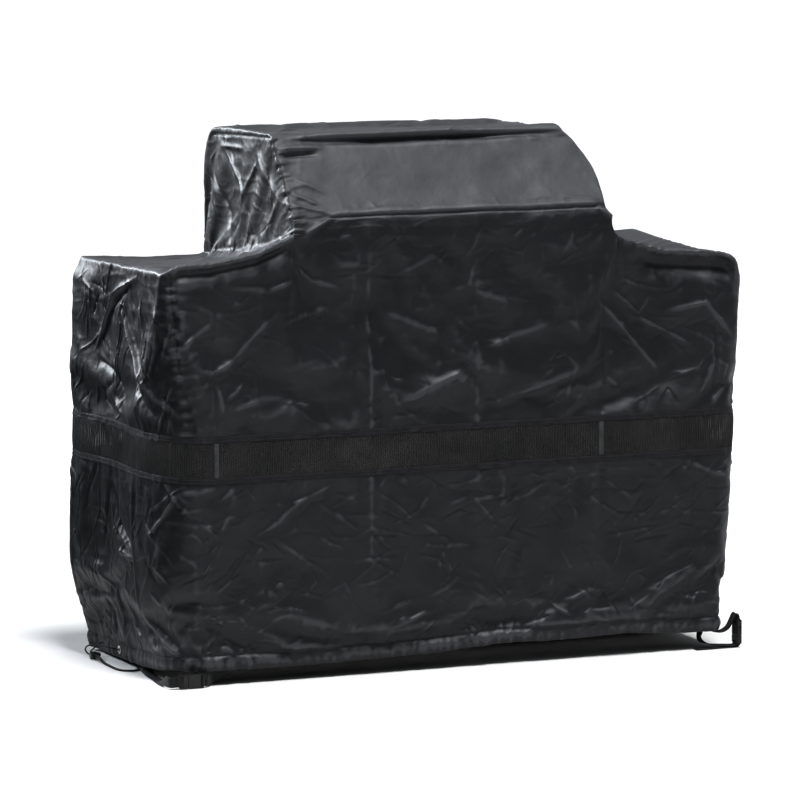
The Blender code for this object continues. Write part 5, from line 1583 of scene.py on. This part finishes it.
def strap_routes():
    """Every strap's stations, by its CAD node."""
    routes = {}
    place = axes((-0.666, -0.280, 0.0173), (-1, 0, 0), UP)
    sewn_x = -HALF_W + SEWN_INSET + lean(0.034)
    leaning = (-LEAN_SLOPE, 0, 1)
    to_end = [
        ((-0.7010, -0.2795, 0.0170), UP),
        ((-0.7080, -0.2750, 0.0168), UP),
        ((-0.7105, -0.2650, 0.0166), UP),
        ((-0.7095, -0.2450, 0.0160), (0.15, 0, 1)),
        ((-0.7050, -0.2200, 0.0124), (0.65, 0, 0.75)),
        ((-0.6990, -0.1900, 0.0050), (1, 0, 0.25)),
        ((-0.6940, -0.1500, 0.0014), (1, 0, 0)),
        ((-0.6900, -0.1000, 0.0014), (1, 0, 0)),
        ((-0.6860, -0.0600, 0.0052), (1, 0, 0.25)),
        ((-0.6820, -0.0250, 0.0160), (0.6, 0, 0.8)),
        ((sewn_x + 0.0032, 0.0060, 0.0290), leaning),
        ((sewn_x + 0.0004, 0.0280, 0.0340), leaning),
        ((sewn_x, 0.0500, 0.0345), leaning),
    ]
    routes["front_left_socket_strap"] = bar_loop(place, -1, UP, 2.0) + hem_run(place, -1, -1)
    routes["front_left_plug_strap"] = bar_loop(place, 1, UP, 4.0) + to_end
    for corner, x, turn in (("back_left", -0.49, 1), ("back_right", 0.49, -1)):
        place = axes((x, 0.2965, 0.0173), (turn, 0, 0), (0, 0, turn))
        routes[corner + "_socket_strap"] = bar_loop(place, -1, UP, 2.0) + hem_run(place, -1, 1)
        routes[corner + "_plug_strap"] = bar_loop(place, 1, UP, 4.0) + hem_run(place, 1, 1)
    place = axes((0.7420, -0.2660, 0.0290), (0, 0, -1), (0, 1, 0))
    x, y = place.translation.x, place.translation.y
    top = place.translation.z + SOCKET_LENGTH * MM
    over = [
        ((x - 0.0010, y + 0.0010, top + 0.0120), ACROSS),
        ((x - 0.0045, y + 0.0020, top + 0.0140), ACROSS),
        ((x - 0.0085, y + 0.0030, top + 0.0100), ACROSS),
        ((x - 0.0130, y + 0.0040, top - 0.0010), ACROSS),
        ((x - 0.0210, y + 0.0080, 0.0480), ACROSS),
        ((x - 0.0330, y + 0.0150, 0.0385), ACROSS),
        ((x - 0.0450, y + 0.0230, 0.0365), ACROSS),
        ((x - 0.0535, y + 0.0300, 0.0378), ACROSS),
        ((x - 0.0585, y + 0.0345, 0.0420), ACROSS),
        ((end_inner_x(0.050) - 0.0028, y + 0.0370, 0.0500), ACROSS),
        ((end_inner_x(0.060) - 0.0010, y + 0.0385, 0.0600), ACROSS),
        ((end_inner_x(0.074) - 0.0006, y + 0.0395, 0.0740), ACROSS),
    ]
    routes["front_right_socket_strap"] = bar_loop(place, -1, ACROSS, 2.0) + over
    z = place.translation.z - PLUG_LENGTH * MM
    route = [
        (0.6300, y - 0.0010, 0.0013),
        (0.6700, y - 0.0010, 0.0013),
        (0.7100, y, 0.0013),
        (x - 0.0110, y, 0.0013),
        (x - 0.0030, y, 0.0018),
        (x + 0.0018, y, z - 0.0034),
        (x + 0.0036, y, z + 0.0004),
        (x + 0.0034, y, z + 0.0034),
        (x + 0.0020, y, z + 0.0050),
        (x - 0.0004, y, z + 0.0054),
        (x - 0.0027, y, z + 0.0044),
        (x - 0.0036, y, z + 0.0014),
        (x - 0.0052, y, z - 0.0018),
        (x - 0.0110, y + 0.0010, 0.0046),
        (x - 0.0300, y + 0.0080, 0.0046),
        (x - 0.0600, y + 0.0240, 0.0060),
        (x - 0.0740, y + 0.0440, 0.0150),
        (x - 0.0700, y + 0.0600, 0.0290),
        (end_inner_x(0.044) - 0.0040, y + 0.0670, 0.0430),
        (end_inner_x(0.056), y + 0.0680, 0.0560),
        (end_inner_x(0.074), y + 0.0680, 0.0740),
    ]
    routes["front_right_plug_strap"] = [(p, ACROSS) for p in route]
    return routes


STRAP_BLENDS = {
    # the strap's moving body, where it leaves the cover, and where it reaches that body
    "front_left_plug_strap": ("front_left_plug", (-0.690, -0.100, 0.0014), (-0.7080, -0.2750, 0.0168)),
    "back_left_plug_strap": ("back_left_plug", (-0.400, 0.270, 0.045), (-0.463, 0.2965, 0.0173)),
    "back_right_plug_strap": ("back_right_plug", (0.400, 0.270, 0.045), (0.463, 0.2965, 0.0173)),
    "front_right_socket_strap": ("front_right_socket", (0.690, -0.230, 0.045), (0.7335, -0.263, 0.077)),
}


# -------- build
make_camera()
make_stage()
SHELL = shell_material()
VENT = vent_material()
TAPE = woven_material("binding_weave", (0.012, 0.012, 0.015), (0.019, 0.019, 0.023), 0.55, 420)
THREAD = woven_material("stitching_thread", (0.035, 0.035, 0.040), (0.060, 0.060, 0.066), 0.6, 900)
WEBBING = woven_material("webbing_weave", (0.009, 0.009, 0.010), (0.016, 0.016, 0.017), 0.62, 380)
CORD = woven_material("drawstring_braid", (0.010, 0.010, 0.011), (0.022, 0.022, 0.024), 0.7, 700)
RIB = woven_material("vent_rib_yarn", (0.010, 0.010, 0.011), (0.020, 0.020, 0.022), 0.6, 500)
JOIN = woven_material("vent_join_tape", (0.045, 0.046, 0.050), (0.080, 0.082, 0.088), 0.6, 420)
BUCKLE = plastic_material("buckle_acetal", (0.010, 0.010, 0.011), (0.020, 0.020, 0.021), 0.36)
LOCK = plastic_material("cord_lock_gloss", (0.020, 0.023, 0.022), (0.034, 0.038, 0.036), 0.2)
NICKEL = nickel_material()
SPRING = nickel_material()
SPRING.name = "spring_wire"


def eyelet_place(node):
    low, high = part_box(node)
    z = (low.z + high.z) / 2
    return Vector((-HALF_W + lean(z), (low.y + high.y) / 2, z))


EYELETS = [eyelet_place("front_eyelet"), eyelet_place("back_eyelet")]
base_points, quads, panel_names, index, end_index = cover_arrays()
facing = outward_normals(base_points, quads)
around, row = around_and_row(len(base_points), index, end_index)
jitter = 0.0016 * value_noise(base_points, 0.09, 61) + 0.0010 * value_noise(base_points, 0.04, 62)
points = base_points + facing * (0.5 * fold_offsets(base_points) + jitter)[:, None]
points = drape(points, quads)
COVER = fine_cover(points, quads, panel_names, base_points, facing, around, row)
PANELS = panel_pieces(COVER)


for name, low_row in (("lower_vent_binding", LOWER_TAPE_ROW), ("upper_vent_binding", UPPER_TAPE_ROW)):
    chosen = COVER.faces[faces_in_rows(COVER, low_row, low_row + 2)]
    swell = 0.0012 + 0.0004 * value_noise(COVER.rest, 0.012, 71)
    tape = laid_on(name.replace("binding", "tape"), COVER, chosen, 0.0001, swell)
    keep(tape, TAPE, nodes=[name])

deep = np.interp(COVER.row, (0, 0.5, 1, 2, 2.6, 3), (0.0008, 0.004, 0.008, 0.008, 0.004, 0.0010))
inside = faces_in_rows(COVER, 0, 3)
lining = laid_on("hem_channel_lining", COVER, COVER.faces[inside], -deep - 0.0008, -deep)
keep(lining, SHELL)

# the vent's ribs stand on every second column of cells, and its lengths are joined in two places in front
middle = COVER.around[COVER.faces].mean(1)
spread = np.ptp(COVER.around[COVER.faces], axis=1)
band = faces_in_rows(COVER, LOWER_TAPE_ROW + 2, UPPER_TAPE_ROW) & (spread < 0.05)
column = 2 * HALF_W / (index.shape[0] - 1) / 4
ribs = laid_on("vent_ribs", COVER, COVER.faces[band & (np.floor(middle / column) % 2 == 0)], -0.0003, 0.0007)
keep(ribs, RIB)
for name, x in (("left_vent_join", -SKIRT_SEAM_X), ("right_vent_join", VENT_SEAM_X)):
    chosen = band & (np.abs(middle - HALF_W - x) < 0.0065)
    keep(laid_on(name, COVER, COVER.faces[chosen], 0.0002, 0.0014), JOIN)

not_at_eyelets = np.ones(len(COVER.points), bool)
for place in EYELETS:
    not_at_eyelets &= np.linalg.norm(COVER.rest - np.array(place), axis=1) > 0.018
seams = []
for tape_row in (LOWER_TAPE_ROW, UPPER_TAPE_ROW):
    for extra in (0.5, 1.5):
        seams.append(stitch_arrays(*row_line(COVER, tape_row + extra, 0.0016), True))
seams.append(stitch_arrays(*row_line(COVER, 3.0, 0.0004, not_at_eyelets), True))
closing = 4 * HALF_W + 3 * HALF_D - CLOSING_SEAM_Y
left, right = HALF_W - SKIRT_SEAM_X, HALF_W + SKIRT_SEAM_X
back_start = 2 * HALF_W + 2 * HALF_D
seam_places = [closing - 0.008, closing + 0.008, left - 0.009, right + 0.009]
for place in (*seam_places, back_start + left, back_start + right):
    seams.append(stitch_arrays(*column_line(COVER, place, 3, LOWER_TAPE_ROW, 0.0004), False))
stitching = mesh_object("topstitching", *joined(seams), smooth_shading=False)
keep(stitching, THREAD)

away_from_gap = ~((COVER.rest[:, 0] < -0.6) & (COVER.rest[:, 1] > 0.091) & (COVER.rest[:, 1] < 0.238))
hem_path, _ = row_line(COVER, 1.5, -0.0045, away_from_gap)
gap_at = int(np.argmax(np.linalg.norm(np.diff(hem_path, axis=0, append=hem_path[:1]), axis=1)))
hem_path = np.roll(hem_path, -gap_at - 1, axis=0)
keep(round_tube("hem_cord", hem_path[::2], CORD_R), CORD, nodes=["hem_drawstring"])

for node, place, side, goes_with in (
    ("drawstring_front_end", EYELETS[0], -1, [NODES["drawstring_knot"]]),
    ("drawstring_back_end", EYELETS[1], 1, []),
):
    route = strand_points(place, side)
    strand = cord_curve(node.replace("drawstring", "cord"), route)
    keep(strand, CORD, nodes=[node])

for node, stations in strap_routes().items():
    strap = webbing_piece(node.replace("_strap", "_webbing"), stations)
    moving = STRAP_BLENDS.get(node)
    keep(strap, WEBBING, body=None if moving else "cover", nodes=[node])
    if moving:
        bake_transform(strap)

# the cord lock's spring is squeezed between the barrel's floor and the plunger
low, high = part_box("cord_lock_spring")
turns = np.linspace(0, 3 * 2 * math.pi, 73)
outward = np.stack([np.zeros_like(turns), np.cos(turns), np.sin(turns)], -1)
wire = 0.00025
centre = np.stack([np.linspace(low.x + wire, high.x - wire, len(turns))] + [np.zeros_like(turns)] * 2, -1)
centre += ((0, (low.y + high.y) / 2, (low.z + high.z) / 2) + outward * ((high.y - low.y) / 2 - wire))
coil = round_tube("cord_lock_coil", centre, wire, sides=8, outward=outward)
keep(coil, SPRING, body=None, nodes=["cord_lock_spring"])
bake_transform(coil)

LOOKS = (("buckle", BUCKLE), ("release_arm", BUCKLE), ("eyelet", NICKEL), ("drawstring", CORD))
LOOKS += (("cord_lock_spring", SPRING), ("cord_lock", LOCK))
for node, obj in NODES.items():
    found = [look for part, look in LOOKS if part in node]
    if found:
        obj.data.materials.clear()
        obj.data.materials.append(found[0])
